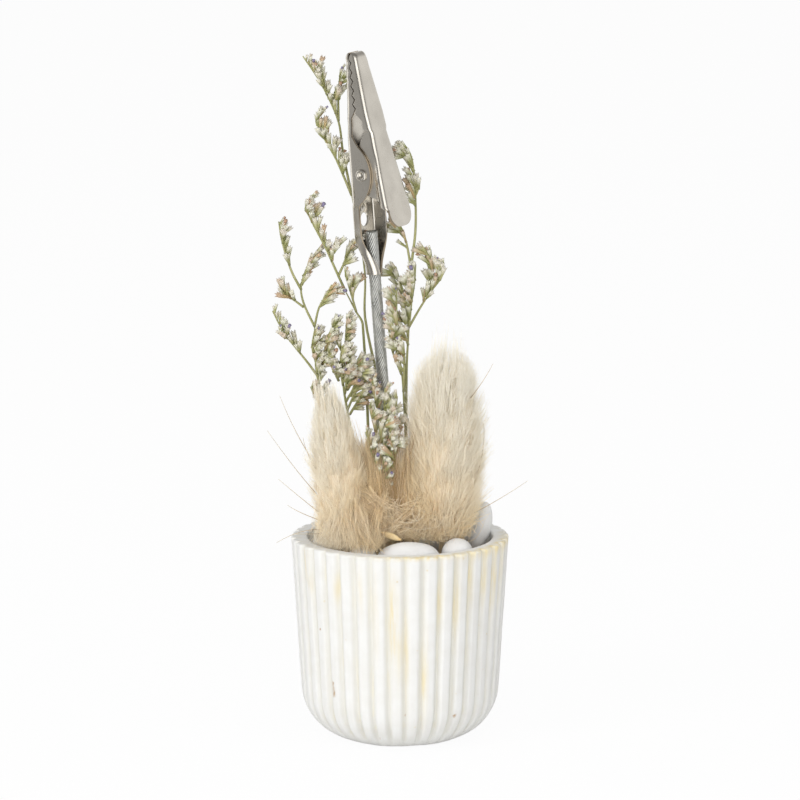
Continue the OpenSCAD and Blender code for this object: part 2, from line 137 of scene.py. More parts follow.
def arc(centre, radius, start, end, steps):
    """Points of an arc in the plane of radius and height, from one angle to another."""
    angles = [start + (end - start) * i / steps for i in range(steps + 1)]
    return [(centre[0] + radius * math.cos(a), centre[1] + radius * math.sin(a)) for a in angles]


def straight(start, end, steps):
    """Points of a straight line, both ends left out."""
    shares = [i / steps for i in range(1, steps)]
    return [(start[0] + (end[0] - start[0]) * s, start[1] + (end[1] - start[1]) * s) for s in shares]


def mesh_of(name, bm):
    """The mesh of a bmesh, which is freed."""
    mesh = bpy.data.meshes.new(name)
    bm.to_mesh(mesh)
    bm.free()
    return mesh


def screwed(profile_bm, steps, turns=1, rise=0.0):
    """A profile turned about Z in so many steps a turn, with a rise in each turn."""
    made = placed("profile", mesh_of("profile", profile_bm))
    screw = made.modifiers.new("turn", "SCREW")
    screw.steps = screw.render_steps = steps
    screw.iterations, screw.screw_offset = turns, rise
    bm = bmesh.new()
    bm.from_object(made, bpy.context.evaluated_depsgraph_get())
    bpy.data.objects.remove(made)
    bmesh.ops.remove_doubles(bm, verts=bm.verts[:], dist=MERGE)
    return bm


def spun(profile, steps):
    """A closed body turned about Z from points of radius and height that start and end on the axis."""
    bm = bmesh.new()
    verts = [bm.verts.new((r, 0, z)) for r, z in profile]
    for pair in zip(verts, verts[1:]):
        bm.edges.new(pair)
    bm = screwed(bm, steps)
    bmesh.ops.recalc_face_normals(bm, faces=bm.faces[:])
    return bm


def ease(value, low, high):
    """A smooth step from 0 at low to 1 at high."""
    share = min(max((value - low) / (high - low), 0.0), 1.0)
    return share * share * (3 - 2 * share)


def waves(place, sizes):
    """Unevenness of a surface at a place, from noises of a height and a length each."""
    return sum(high * noise.noise(place / length) for high, length in sizes)


def shown(name, bm, materials, body, slot, *nodes):
    """Makes the piece of a bmesh: smooth, on its body, and in place of its CAD nodes; its slot is not used."""
    mesh = mesh_of(name, bm)
    mesh.shade_smooth()
    for material in materials:
        mesh.materials.append(material)
    made = placed(name, mesh)
    if body:
        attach(made, body)
    if nodes:
        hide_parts(*nodes)
    return made


def pot_outer(z):
    """Radius of the pot's outside, over its ribs, at a height."""
    if z < foot_z:
        return foot_x + math.sqrt(max(FOOT_R ** 2 - (foot_z - z) ** 2, 0.0))
    return pot_r - (pot_h - z) * math.tan(DRAFT)


def groove_share(angle):
    """Depth of the grooves at an angle round the pot, from 0 on a rib to 1 in the middle of a groove."""
    off = abs((angle / math.tau * RIBS - RIB_TURN) % 1.0 - 0.5) / GROOVE_HALF
    return 0.0 if off >= 1 else (0.5 + 0.5 * math.cos(math.pi * off)) ** GROOVE_FULL


def stain_share(angle, z):
    """Strength of the stains at an angle round the pot and a height."""
    total = 0.0
    for turn, wide, height, tall, strength in STAINS:
        off = (math.degrees(angle) - turn + 180) % 360 - 180
        total += strength * math.exp(-((off / wide) ** 2) - ((z / MM - height) / tall) ** 2)
    return min(total, 1.0)


inner_r = pot_r - POT_WALL
rim_z = pot_h - RIM_ROUND
wall_top = (pot_outer(rim_z), rim_z)
foot_arc = arc((foot_x, foot_z), FOOT_R, -math.asin(foot_z / FOOT_R), -DRAFT, FOOT_STEPS)
rim_arc = arc((wall_top[0] - RIM_ROUND, rim_z), RIM_ROUND, 0, math.pi / 2, ROUND_STEPS)
lip_arc = arc((inner_r + RIM_ROUND, rim_z), RIM_ROUND, math.pi / 2, math.pi, ROUND_STEPS)
cavity_low = (inner_r - (pot_h - POT_FLOOR) * math.tan(DRAFT), POT_FLOOR)
pot_profile = (
    [(0, 0), (foot_arc[0][0] * 0.5, 0)]
    + foot_arc + straight(foot_arc[-1], wall_top, WALL_STEPS) + rim_arc
    + straight(rim_arc[-1], lip_arc[0], ROUND_STEPS) + lip_arc
    + straight(lip_arc[-1], cavity_low, CAVITY_STEPS) + [cavity_low, (0, POT_FLOOR)]
)
pot_bm = spun(pot_profile, RIBS * RIB_STEPS)
groove_layer, stain_layer, chip_layer = (
    pot_bm.verts.layers.float.new(key) for key in ("groove", "stain", "chip")
)
for v in pot_bm.verts:
    r, z, angle = math.hypot(v.co.x, v.co.y), v.co.z, math.atan2(v.co.y, v.co.x)
    skin = min(max((r - pot_outer(z) + SKIN_DEEP) / SKIN_FADE, 0.0), 1.0)
    if skin == 0:
        continue
    share = groove_share(angle) * skin * ease(z, *GROOVE_FADE)
    out = Vector((r - foot_x, z - foot_z)).normalized() if z < foot_z else Vector((1, 0))
    dip = GROOVE_DEPTH * share - waves(v.co, CAST_WAVES) * skin
    for turn, height, wide, deep in CHIPS:
        spot = Matrix.Rotation(math.radians(turn), 3, "Z") @ Vector((pot_outer(height * MM), 0, height * MM))
        away = (spot - v.co).length / (wide * MM)
        if away < 1 and skin > 0.9:
            hit = (1 - away * away) * (0.7 + 0.6 * noise.noise(v.co / CHIP_GRAIN))
            dip += deep * MM * hit
            v[chip_layer] = max(v[chip_layer], hit)
    r -= dip * out.x
    v.co = (r * math.cos(angle), r * math.sin(angle), max(z - dip * out.y, 0.0))
    v[groove_layer] = share
    v[stain_layer] = stain_share(angle, z) * skin


def srgb(red, green, blue):
    """A colour as it looks in the photo, as linear light."""
    def linear(c):
        return c / 255 / 12.92 if c <= 10 else ((c / 255 + 0.055) / 1.055) ** 2.4
    return (linear(red), linear(green), linear(blue), 1.0)


def node(tree, kind, inputs=None, **settings):
    """Adds a node, with its settings, and a value or a link for each input that is named."""
    made = tree.nodes.new(kind)
    for name, value in settings.items():
        setattr(made, name, value)
    for name, value in (inputs or {}).items():
        if isinstance(value, bpy.types.NodeSocket):
            tree.links.new(value, made.inputs[name])
        else:
            made.inputs[name].default_value = value
    return made


def mixed(tree, factor, low, high):
    """A colour between two others."""
    return node(tree, "ShaderNodeMix", {0: factor, 6: low, 7: high}, data_type="RGBA").outputs[2]


def ranged(tree, value, low, high, out_low=0.0, out_high=1.0):
    """A value taken from one range to another, and held to its ends."""
    ends = {"Value": value, "From Min": low, "From Max": high, "To Min": out_low, "To Max": out_high}
    return node(tree, "ShaderNodeMapRange", ends).outputs[0]


def times(tree, a, b):
    """The product of two values."""
    return node(tree, "ShaderNodeMath", {0: a, 1: b}, operation="MULTIPLY").outputs[0]


def attribute(tree, name):
    """A value that the mesh holds at each vertex."""
    return node(tree, "ShaderNodeAttribute", attribute_name=name).outputs["Fac"]


def grain_group():
    """Cloudy and fine grain on Object coordinates, for every surface of the holder that isn't hair."""
    group = bpy.data.node_groups.new("fine_grain", "ShaderNodeTree")
    for name in ("Cloud Scale", "Grain Scale", "Stretch"):
        group.interface.new_socket(name=name, in_out="INPUT", socket_type="NodeSocketFloat")
    for name in ("Cloud", "Grain", "Height"):
        group.interface.new_socket(name=name, in_out="OUTPUT", socket_type="NodeSocketFloat")
    given = node(group, "NodeGroupInput").outputs
    outside = node(group, "NodeGroupOutput")
    place = node(group, "ShaderNodeTexCoord").outputs["Object"]
    pull = node(group, "ShaderNodeCombineXYZ", {"X": 1.0, "Y": 1.0, "Z": given["Stretch"]}).outputs[0]
    pulled = node(group, "ShaderNodeVectorMath", {0: place, 1: pull}, operation="MULTIPLY").outputs[0]
    cloud, grain = (
        node(group, "ShaderNodeTexNoise", {"Vector": at, "Scale": scale, "Detail": detail}).outputs[0]
        for at, scale, detail in ((pulled, given["Cloud Scale"], 5.0), (place, given["Grain Scale"], 3.0))
    )
    both = node(group, "ShaderNodeMath", {0: cloud, 1: grain}, operation="ADD").outputs[0]
    group.links.new(ranged(group, cloud, 0.3, 0.7), outside.inputs["Cloud"])
    group.links.new(ranged(group, grain, 0.3, 0.7), outside.inputs["Grain"])
    group.links.new(times(group, both, 0.5), outside.inputs["Height"])
    return group


fine_grain = grain_group()


def grain_in(tree, cloud_scale, grain_scale, stretch=1.0):
    """The fine grain in a material, at its own scales."""
    inputs = {"Cloud Scale": cloud_scale, "Grain Scale": grain_scale, "Stretch": stretch}
    return node(tree, "ShaderNodeGroup", inputs, node_tree=fine_grain).outputs


def finish_material(name, colour_of, roughness, bump=None, metallic=0.0, specular=0.5):
    """A material whose colour, roughness and bump a function works out in its node tree."""
    material = bpy.data.materials.new(name)
    material.use_nodes = True
    tree = material.node_tree
    shader = tree.nodes["Principled BSDF"]
    shader.inputs["Metallic"].default_value = metallic
    shader.inputs["Specular IOR Level"].default_value = specular
    colour, rough, height = colour_of(tree)
    tree.links.new(colour, shader.inputs["Base Color"])
    if rough is None:
        shader.inputs["Roughness"].default_value = roughness
    else:
        tree.links.new(ranged(tree, rough, 0, 1, *roughness), shader.inputs["Roughness"])
    if bump:
        strength, distance = bump
        inputs = {"Strength": strength, "Distance": distance, "Height": height}
        tree.links.new(node(tree, "ShaderNodeBump", inputs).outputs[0], shader.inputs["Normal"])
    return material


def plaster(tree):
    """Chalk white, with grey painted shade in its grooves, ochre streaks, brown chips and small dark bubbles."""
    fine = grain_in(tree, 260, 2600)
    streak = grain_in(tree, 900, 2600, 0.12)
    groove, stain, chip = (attribute(tree, name) for name in ("groove", "stain", "chip"))
    white = mixed(tree, fine["Cloud"], srgb(232, 232, 230), srgb(227, 226, 222))
    # Painted shade: the grooves are greyed for the shade that falls in them
    groove_shaded = mixed(tree, times(tree, groove, 0.45), white, srgb(214, 211, 198))
    trace = times(tree, ranged(tree, streak["Cloud"], 0.55, 1.0), ranged(tree, groove, 0.2, 1.0))
    traced = mixed(tree, times(tree, trace, 0.3), groove_shaded, srgb(229, 218, 180))
    broken = times(tree, stain, ranged(tree, streak["Cloud"], 0.1, 0.75, 0.25, 1.0))
    stained = mixed(tree, times(tree, broken, 0.85), traced, srgb(229, 211, 156))
    place = node(tree, "ShaderNodeTexCoord").outputs["Object"]
    pores = node(tree, "ShaderNodeTexVoronoi", {"Vector": place, "Scale": 420.0}).outputs["Distance"]
    rare = ranged(tree, fine["Cloud"], 0.72, 0.95)
    pore = times(tree, ranged(tree, pores, 0.16, 0.07), rare)
    pitted = mixed(tree, times(tree, pore, 0.5), stained, srgb(216, 196, 146))
    chipped = mixed(tree, ranged(tree, chip, 0.2, 0.7, 0.0, 0.85), pitted, srgb(182, 148, 106))
    height = node(tree, "ShaderNodeMath", {0: fine["Height"], 1: pore}, operation="SUBTRACT").outputs[0]
    return chipped, fine["Grain"], height


plaster_material = finish_material("plaster", plaster, (0.82, 0.98), (0.35, 0.15 * MM), specular=0.25)
shown("pot_cast", pot_bm, [plaster_material], "holder", "plaster", "pot")


# Foam core
# A plug of dry floral foam pressed into the cup, which holds every stem.
# Its top is torn and crumbled where stems were pushed in, and lies under the pebbles.
FOAM_RINGS = 16
FOAM_STEPS = 110
FOAM_FOOT = 5 * MM
FOAM_WORN = 0.35 * MM
# Torn top of the foam: height and length of its waves
FOAM_TEARS = [(0.5 * MM, 2.5 * MM), (0.3 * MM, 0.9 * MM)]
foam_low, foam_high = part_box("foam_core")
foam_r = foam_high.x
foam_side = [(foam_r * 0.7, foam_low.z), (foam_r * 0.93, foam_low.z + FOAM_FOOT), (foam_r, foam_high.z)]
foam_top = straight(foam_side[-1], (0, foam_high.z), FOAM_RINGS) + [(0, foam_high.z)]
foam_profile = [(0, foam_low.z)] + foam_side + foam_top
foam_bm = spun(foam_profile, FOAM_STEPS)
for v in foam_bm.verts:
    if v.co.z > foam_high.z - 0.1 * MM and math.hypot(v.co.x, v.co.y) < foam_r - 0.2 * MM:
        v.co.z -= FOAM_WORN + waves(v.co, FOAM_TEARS)


def clouded(scales, low, high, specks=None, rough="Cloud"):
    """A finish that clouds from one colour to another, with specks of a third where the grain is high."""
    def finish(tree):
        fine = grain_in(tree, *scales)
        colour = mixed(tree, fine["Cloud"], srgb(*low), srgb(*high))
        if specks:
            start, most, tint = specks
            colour = mixed(tree, ranged(tree, fine["Grain"], start, 1.0, 0.0, most), colour, srgb(*tint))
        return colour, fine[rough], fine["Height"]
    return finish


# Dusty brown, with darker cells
foam = clouded((500, 2200), (112, 92, 62), (168, 141, 98), (0.0, 0.5, (78, 62, 42)), "Grain")
foam_material = finish_material("floral_foam", foam, (0.85, 1.0), (0.9, 0.5 * MM))
shown("foam_plug", foam_bm, [foam_material], "holder", "foam", "foam_core")


# Pebbles
# White tumbled stones laid over the foam to weigh the cup down and hide it.
# Each is smooth and a little uneven, with faint grey clouds and a few specks.
PEBBLES = 11
PEBBLE_DENT = 0.32 * MM
PEBBLE_WAVE = 5 * MM
PEBBLE_SHIFT = 3.7

# Matt white, with faint clouds and rare grey specks
stone = clouded((300, 3800), (233, 233, 232), (224, 223, 221), (0.93, 0.5, (176, 170, 160)))
stone_material = finish_material("tumbled_stone", stone, (0.5, 0.75), (0.12, 0.1 * MM), specular=0.4)
for i in range(1, PEBBLES + 1):
    pebble_bm = bmesh.new()
    pebble_bm.from_mesh(frame["nodes"][f"pebble_{i}"].data)
    bmesh.ops.remove_doubles(pebble_bm, verts=pebble_bm.verts[:], dist=MERGE)
    pebble_bm.normal_update()
    moves = []
    for v in pebble_bm.verts:
        broad = noise.noise(v.co / PEBBLE_WAVE + Vector((i * PEBBLE_SHIFT, 0, 0)))
        moves.append(v.normal * (-PEBBLE_DENT) * (0.5 + 0.8 * broad))
    for v, move in zip(pebble_bm.verts, moves):
        v.co += move
    shown(f"pebble_stone_{i}", pebble_bm, [stone_material], "holder", "pebble", f"pebble_{i}")


# Stem
# Steel wire rope of twelve wires laid right-handed round a core, its foot pushed down into the foam.
# It stands by its own stiffness and leans a little to the left; its top end is crimped into the clip.
WIRES = 12
WIRE_SIDES = 8
ROPE_D = 2.7 * MM
ROPE_LAY = 11.5 * MM
ROPE_TURN_STEPS = 30
ROPE_OFF = -1.25 * MM
ROPE_TOP = -13.4 * MM
WIRE_PRESS = 1.03
CORE_SIDES = 16
pivot = next(joint for joint in frame["joints"] if joint["name"] == "clip_pivot")
grip = next(mount for mount in frame["record"]["mounts"] if mount["name"] == "photo_grip")
clip_v = Vector(pivot["axis"]).normalized()
clip_w = Vector(grip["axis"]).normalized()
clip_u = clip_v.cross(clip_w).normalized()
# Clip frame: u is the way the lever opens, v the rivet's axis and w the way to the jaw tips, from the rivet
clip_turn = Matrix((clip_u, clip_v, clip_w)).transposed().to_4x4()
clip_place = Matrix.Translation(Vector(pivot["pos_m"])) @ clip_turn
rope_foot = (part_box("stem_cable")[0].z - pivot["pos_m"][2]) / clip_w.z
rope_len = ROPE_TOP - rope_foot
rope_turns = round(rope_len / ROPE_LAY)
wire_r = ROPE_D / 2 * math.sin(math.pi / WIRES) / (1 + math.sin(math.pi / WIRES))
wire_ring = ROPE_D / 2 - wire_r
lay_angle = math.atan2(math.tau * wire_ring, ROPE_LAY)

rope_bm = bmesh.new()
for i in range(WIRES):
    turn = Matrix.Rotation(math.tau * i / WIRES, 4, "Z")
    tilt = turn @ Matrix.Translation((wire_ring, 0, 0)) @ Matrix.Rotation(-lay_angle, 4, "X")
    bmesh.ops.create_circle(rope_bm, segments=WIRE_SIDES, radius=wire_r * WIRE_PRESS, matrix=tilt)
rope_bm = screwed(rope_bm, ROPE_TURN_STEPS, rope_turns, rope_len / rope_turns)
bmesh.ops.create_cone(
    rope_bm, cap_ends=True, segments=CORE_SIDES, radius1=wire_ring, radius2=wire_ring, depth=rope_len,
    matrix=Matrix.Translation((0, 0, rope_len / 2))
)
bmesh.ops.holes_fill(rope_bm, edges=rope_bm.edges[:], sides=WIRE_SIDES)
bmesh.ops.recalc_face_normals(rope_bm, faces=rope_bm.faces[:])
rope_place = clip_place @ Matrix.Translation((ROPE_OFF, 0, rope_foot))
bmesh.ops.transform(rope_bm, matrix=rope_place, verts=rope_bm.verts[:])

# Grey drawn wire, a little dull and uneven from wire to wire
rope_steel = clouded((700, 6000), (164, 166, 164), (204, 205, 202))
rope_material = finish_material("rope_wire", rope_steel, (0.25, 0.36), (0.1, 0.02 * MM), metallic=0.8)
shown("stem_rope", rope_bm, [rope_material], "holder", "wire_rope", "stem_cable")


# Clip, fixed jaw
# Nickel-plated sheet steel pressed into a toothed channel with a round ear on each side for the rivet.
# Its tail is a shallow channel with a round hole, then closes into a crimp folded round the wire rope.

# Sizes of both jaws are in mm, in the clip frame
SHEET = 0.5
BEND_R = 1.05
BEND_MOST = 0.62
JAW_LEN = 27.5
SPINE_BACK = 3.4
TOOTH_H = 0.6
TEETH = 6
BITE_TIP = (-2.13, 26.2)
BITE_HEEL = (-0.95, 13.9)
BITE_GAP = 0.3
NOSE_GAP = 0.6
NOSE_ROUND = 1.1
NOSE_NARROW = 0.5
NOSE_LIP = 0.1
NOSE_ROWS = (1.1, 0.8, 0.55, 0.35, 0.2, 0.1, 0.03, 0)
WALL_CUTS = 10
BEND_CUTS = 5
PLATE_CUTS = 14
EAR_R = 8.5
EAR_OUT = 2.33
EAR_SPAN = (-6.6, 6.3)
NECK = [(8.8, -2.1), (12.8, -2.1)]
FIXED_PLAN = [(-7, 4.25), (7.5, 4.25), (11, 3.65), (14, 3.6), (JAW_LEN, 2.2)]
TAIL_HALF = 4.2
TAIL_SPLAY = (math.radians(8), math.radians(15))
TAIL_BEND = 0.6
FLANGE = (2.1, 3.3)
FLANGE_FOOT = 0.3
TAIL_FROM = (-6.4, -7.6)
CRIMP_FROM = (-13.6, -23.4)
CRIMP_END = -23.2
CRIMP_R = ROPE_D / MM / 2 + SHEET
CRIMP_SEAM = math.radians(7)
TAIL_HOLE = (-10.7, 1.6)
DIMPLE = (-8, 1.0, 0.4)
RIVET_HOLE = 0.92
HOLE_SIDES = 40
EDGE_BREAK = 0.09
BREAK_ANGLE = math.radians(50)
SHARP_ANGLE = math.radians(38)


def along(value, points):
    """The height of a broken line at a place along it."""
    return float(np.interp(value, [p[0] for p in points], [p[1] for p in points]))


def bite_line(shift):
    """The toothed edge as (w, u) points from heel to tip, moved off the bite by a shift."""
    tip, heel = Vector(BITE_TIP), Vector(BITE_HEEL)
    way = (heel - tip).normalized()
    out = Vector((-way.y, way.x))
    line = []
    for i in range(2 * TEETH + 1):
        point = tip.lerp(heel, i / (2 * TEETH)) + out * (shift + (TOOTH_H / 2 if i % 2 else -TOOTH_H / 2))
        line.append((point.y, point.x))
    return line[::-1]


def folded(stations, section):
    """A thin sheet shaped over a grid: stations along w in mm, and a section that gives u and v in mm."""
    across = 2 * (WALL_CUTS + BEND_CUTS) + PLATE_CUTS
    bm = bmesh.new()
    bmesh.ops.create_grid(bm, x_segments=across, y_segments=len(stations) - 1, size=1.0)
    for v in bm.verts:
        w = stations[round((v.co.y + 1) / 2 * (len(stations) - 1))]
        u, side = section(w, round((v.co.x + 1) / 2 * across), across)
        v.co = (u * MM, side * MM, w * MM)
    return bm


def channel_point(i, across, plate, edge, half, bend):
    """Point i of a folded channel: out to its plate, from one free edge round to the other."""
    k = min(i, across - i)
    side = -1 if i < across / 2 else 1
    way = 1 if plate > edge else -1
    if k <= WALL_CUTS:
        low, high = edge, plate - way * bend
        return low + (high - low) * k / WALL_CUTS, side * half
    if k <= WALL_CUTS + BEND_CUTS:
        turn = math.pi / 2 * (1 - (k - WALL_CUTS) / BEND_CUTS)
        return plate - way * bend * (1 - math.cos(turn)), side * (half - bend * (1 - math.sin(turn)))
    share = (k - WALL_CUTS - BEND_CUTS) / (PLATE_CUTS / 2)
    return plate, side * (half - bend) * (1 - share)


def bend_at(plate, edge):
    """Outer radius of a bend, which is less where the wall below it is low."""
    return min(BEND_R, BEND_MOST * abs(plate - edge))


def nose_round(w):
    """How far the nose has closed at a place along the jaw, from 0 to 1 at the very tip."""
    share = min(max((w - JAW_LEN + NOSE_ROUND) / NOSE_ROUND, 0.0), 1.0)
    return 1 - math.sqrt(max(1 - share * share, 0.0))


def fixed_edge(w):
    """Free edge of the fixed jaw's walls."""
    ear = [(a, EAR_OUT - EAR_R + math.sqrt(EAR_R ** 2 - a * a)) for a in np.linspace(*EAR_SPAN, 27)]
    nose = [(JAW_LEN, BITE_TIP[0] - NOSE_GAP / 2)]
    return along(w, ear + NECK + bite_line(-BITE_GAP / 2) + nose)


def fixed_section(w, i, across):
    """Section of the fixed jaw: a channel, then the splayed tail, then the round crimp."""
    edge, close = fixed_edge(w), nose_round(w)
    plate = -SPINE_BACK + close * (edge + SPINE_BACK - NOSE_LIP)
    half = along(w, FIXED_PLAN) - NOSE_NARROW * close
    jaw = Vector(channel_point(i, across, plate, edge, half, bend_at(plate, edge)))
    far = i > across / 2
    splay = TAIL_SPLAY[far]
    flange_top = -SPINE_BACK + FLANGE[far] * math.cos(splay)
    u, v = channel_point(i, across, -SPINE_BACK, flange_top, TAIL_HALF, TAIL_BEND)
    lean = math.tan(splay) * max(u + SPINE_BACK - FLANGE_FOOT, 0.0)
    tail = Vector((u, v + math.copysign(lean, v) if v else 0.0))
    dimple_w, dimple_r, dimple_h = DIMPLE
    away = math.hypot(w - dimple_w, v) / dimple_r
    if away < 1:
        tail.x += dimple_h * (1 - away * away) ** 2
    turn = CRIMP_SEAM + (math.tau - 2 * CRIMP_SEAM) * i / across
    crimp = Vector((ROPE_OFF / MM + CRIMP_R * math.cos(turn), -CRIMP_R * math.sin(turn)))
    point = jaw.lerp(tail, 1 - ease(w, TAIL_FROM[1], TAIL_FROM[0]))
    return point.lerp(crimp, 1 - ease(w, CRIMP_FROM[1], CRIMP_FROM[0]))


def jaw_stations(*groups):
    """Places along a jaw where its sheet has a row of points: the given ones and those of its nose."""
    nose = [JAW_LEN - back for back in NOSE_ROWS]
    return sorted({round(float(w), 4) for group in (*groups, nose) for w in group})


def pointed(way):
    """The turn that takes +Z to a way."""
    return way.to_track_quat("Z", "Y").to_matrix().to_4x4()


def sheet_piece(name, bm, outward, holes, materials, body, node_name):
    """Gives a folded sheet its thickness inwards, its holes and its broken edges, and puts it in place."""
    bm.normal_update()
    bm.faces.ensure_lookup_table()
    middle = min(bm.faces, key=lambda f: (f.calc_center_median() - Vector(outward[0])).length)
    if middle.normal.dot(Vector(outward[1])) < 0:
        bmesh.ops.reverse_faces(bm, faces=bm.faces[:])
    made = shown(name, bm, materials, body, "nickel", node_name)
    thick = made.modifiers.new("thickness", "SOLIDIFY")
    thick.thickness, thick.offset, thick.use_even_offset = SHEET * MM, -1.0, True
    thick.material_offset_rim = 1
    cutters = []
    for start, way, radius in holes:
        cutter_bm = bmesh.new()
        bmesh.ops.create_cone(
            cutter_bm, cap_ends=True, segments=HOLE_SIDES, radius1=radius * MM, radius2=radius * MM,
            depth=Vector(way).length * MM,
            matrix=Matrix.Translation(Vector(start) * MM) @ pointed(Vector(way))
        )
        cutters.append(placed("cutter", mesh_of("cutter", cutter_bm)))
        hole = made.modifiers.new("hole", "BOOLEAN")
        hole.operation, hole.solver, hole.object = "DIFFERENCE", "EXACT", cutters[-1]
    broken = made.modifiers.new("broken_edges", "BEVEL")
    broken.width, broken.segments, broken.limit_method = EDGE_BREAK * MM, 2, "ANGLE"
    broken.angle_limit = BREAK_ANGLE
    graph = bpy.context.evaluated_depsgraph_get()
    mesh = bpy.data.meshes.new_from_object(made.evaluated_get(graph))
    made.modifiers.clear()
    made.data = mesh
    for cutter in cutters:
        bpy.data.objects.remove(cutter)
    mesh.transform(clip_place)
    mesh.set_sharp_from_angle(angle=SHARP_ANGLE)


# Warm nickel with faint cloudy smears and a few dull specks, and the sheared edge, where the plate is thin
plating = clouded((160, 2400), (203, 199, 191), (189, 185, 177), (0.9, 0.35, (150, 138, 122)))
cut_edge = clouded((700, 3000), (165, 150, 130), (195, 182, 162))
nickel = finish_material("nickel_plate", plating, (0.2, 0.32), (0.02, 0.03 * MM), metallic=1.0)
edge_nickel = finish_material("nickel_cut_edge", cut_edge, (0.3, 0.45), (0.1, 0.05 * MM), metallic=1.0)
ear_rows = np.linspace(-9.2, 6.3, 46)
tail_rows = np.linspace(CRIMP_END, -9.6, 40)
neck_rows = (7.5, 8.8, 10, 11, 12.2, 12.8)
tooth_rows = [w for w, _ in bite_line(-BITE_GAP / 2)]
fixed_stations = jaw_stations(tooth_rows, ear_rows, tail_rows, neck_rows)
sheet_piece(
    "clip_jaw_fixed", folded(fixed_stations, fixed_section), ((-SPINE_BACK * MM, 0, 10 * MM), (-1, 0, 0)),
    [((0, 0, 0), (0, 20, 0), RIVET_HOLE), ((-SPINE_BACK, 0, TAIL_HOLE[0]), (4, 0, 0), TAIL_HOLE[1])],
    [nickel, edge_nickel], "holder", "clip_fixed_jaw"
)


# Clip, lever jaw
# The upper jaw, pressed from the same plated sheet, with teeth that meet the fixed jaw's.
# It turns on the rivet inside the ears, and its flat tongue is pressed by a thumb to open the bite.
LEVER_LEAN = 0.207
LEVER_BACK = 5.15
LEVER_PLAN = [(-7.4, 4.9), (-1, 4.3), (6, 3.55), (9.4, 3.15), (10.5, 3.65), (14, 3.6), (JAW_LEN, 2.3)]
LEVER_WALL = [(-7.4, 4.6), (-6.6, 3.65), (9, 3.65), (11, 3.6), (14, 3.6), (JAW_LEN, 2.3)]
LEVER_EDGE = [
    (-7.9, 5.8), (-5.8, 3.5), (-4.6, 0.75), (-1.6, -1), (1, -1.5), (6, -0.9), (9.6, 0.9), (12.2, 0.9)
]
SHOULDER_LOW = EAR_OUT + 1.0
SHOULDER_LEAST = 1.0
TONGUE_END = -12
TONGUE_HALF = 4.22
TONGUE_CORNER = 3.2
TONGUE_FROM = (-7.5, -8.2)


def lever_section(w, i, across):
    """Section of the lever jaw: a channel that opens out flat into the tongue."""
    edge = along(w, LEVER_EDGE + bite_line(BITE_GAP / 2) + [(JAW_LEN, BITE_TIP[0] + NOSE_GAP / 2)])
    close = nose_round(w)
    plate = LEVER_BACK - LEVER_LEAN * w
    plate -= close * (plate - edge - NOSE_LIP)
    half = along(w, LEVER_PLAN) - NOSE_NARROW * close
    bend = bend_at(plate, edge)
    jaw = Vector(channel_point(i, across, plate, edge, half, bend))
    wall = along(w, LEVER_WALL) - NOSE_NARROW * close
    shoulder = max(plate - bend, SHOULDER_LOW + SHOULDER_LEAST)
    jaw.y -= math.copysign(max(half - wall, 0.0), jaw.y) * ease(jaw.x, shoulder, SHOULDER_LOW)
    corner = max(TONGUE_END + TONGUE_CORNER - w, 0.0)
    flat_half = TONGUE_HALF - TONGUE_CORNER + math.sqrt(max(TONGUE_CORNER ** 2 - corner ** 2, 0.0))
    rows = [(0, 1), (WALL_CUTS + BEND_CUTS, 1 - bend / half), (across / 2, 0)]
    out = math.copysign(along(min(i, across - i), rows), i - across / 2)
    tongue = Vector((LEVER_BACK - LEVER_LEAN * w, flat_half * out))
    return jaw.lerp(tongue, 1 - ease(w, TONGUE_FROM[1], TONGUE_FROM[0]))


tongue_rows = np.linspace(TONGUE_END, -7.2, 22)
wall_rows = (-6.8, -6.3, -5.2, -3.6, -2.6, -0.3, 2.2, 3.5, 4.8, 7.2, 8.4, 9.4, 9.8, 10.1, 10.5, 11.4)
edge_rows = [w for w, _ in LEVER_EDGE + bite_line(BITE_GAP / 2)]
lever_stations = jaw_stations(edge_rows, tongue_rows, wall_rows)
sheet_piece(
    "clip_jaw_lever", folded(lever_stations, lever_section),
    (((LEVER_BACK - 2) * MM, 0, 10 * MM), (1, 0, 0)),
    [((0, 0, 0), (0, 20, 0), RIVET_HOLE)], [nickel, edge_nickel], "lever", "clip_lever_jaw"
)


# Pivot rivet
# A steel rivet through both ears, nickel-plated, on which the lever turns.
# Its hollow ends are rolled over into small eyelets against the outside of the ears.
RIVET_R = 0.85 * MM
RIVET_HALF = 4.25 * MM
RIVET_LIP = 0.4 * MM
LIP_OUT = 0.14 * MM
LIP_TURN = (math.radians(150), math.radians(-60))
LIP_STEPS = 7
CUP_DEEP = 0.25 * MM
RIVET_SIDES = 40
lip_at = (RIVET_R + LIP_OUT, RIVET_HALF + LIP_OUT)
rivet_end = [(0, RIVET_HALF - CUP_DEEP), (RIVET_R * 0.5, RIVET_HALF - 0.4 * CUP_DEEP)]
rivet_end += arc(lip_at, RIVET_LIP, *LIP_TURN, LIP_STEPS) + [(RIVET_R, RIVET_HALF)]
rivet_bm = spun(rivet_end + [(r, -z) for r, z in rivet_end[::-1]], RIVET_SIDES)
rivet_place = clip_place @ Matrix.Rotation(math.pi / 2, 4, "X")
bmesh.ops.transform(rivet_bm, matrix=rivet_place, verts=rivet_bm.verts[:])
shown("rivet_eyelet", rivet_bm, [nickel], "holder", "nickel", "pivot_rivet")


# Torsion spring
# Hard-drawn wire wound round the rivet between the ears, one leg on the spine and one under the tongue.
# It winds up as the lever opens, so it turns with both jaws along the rivet.

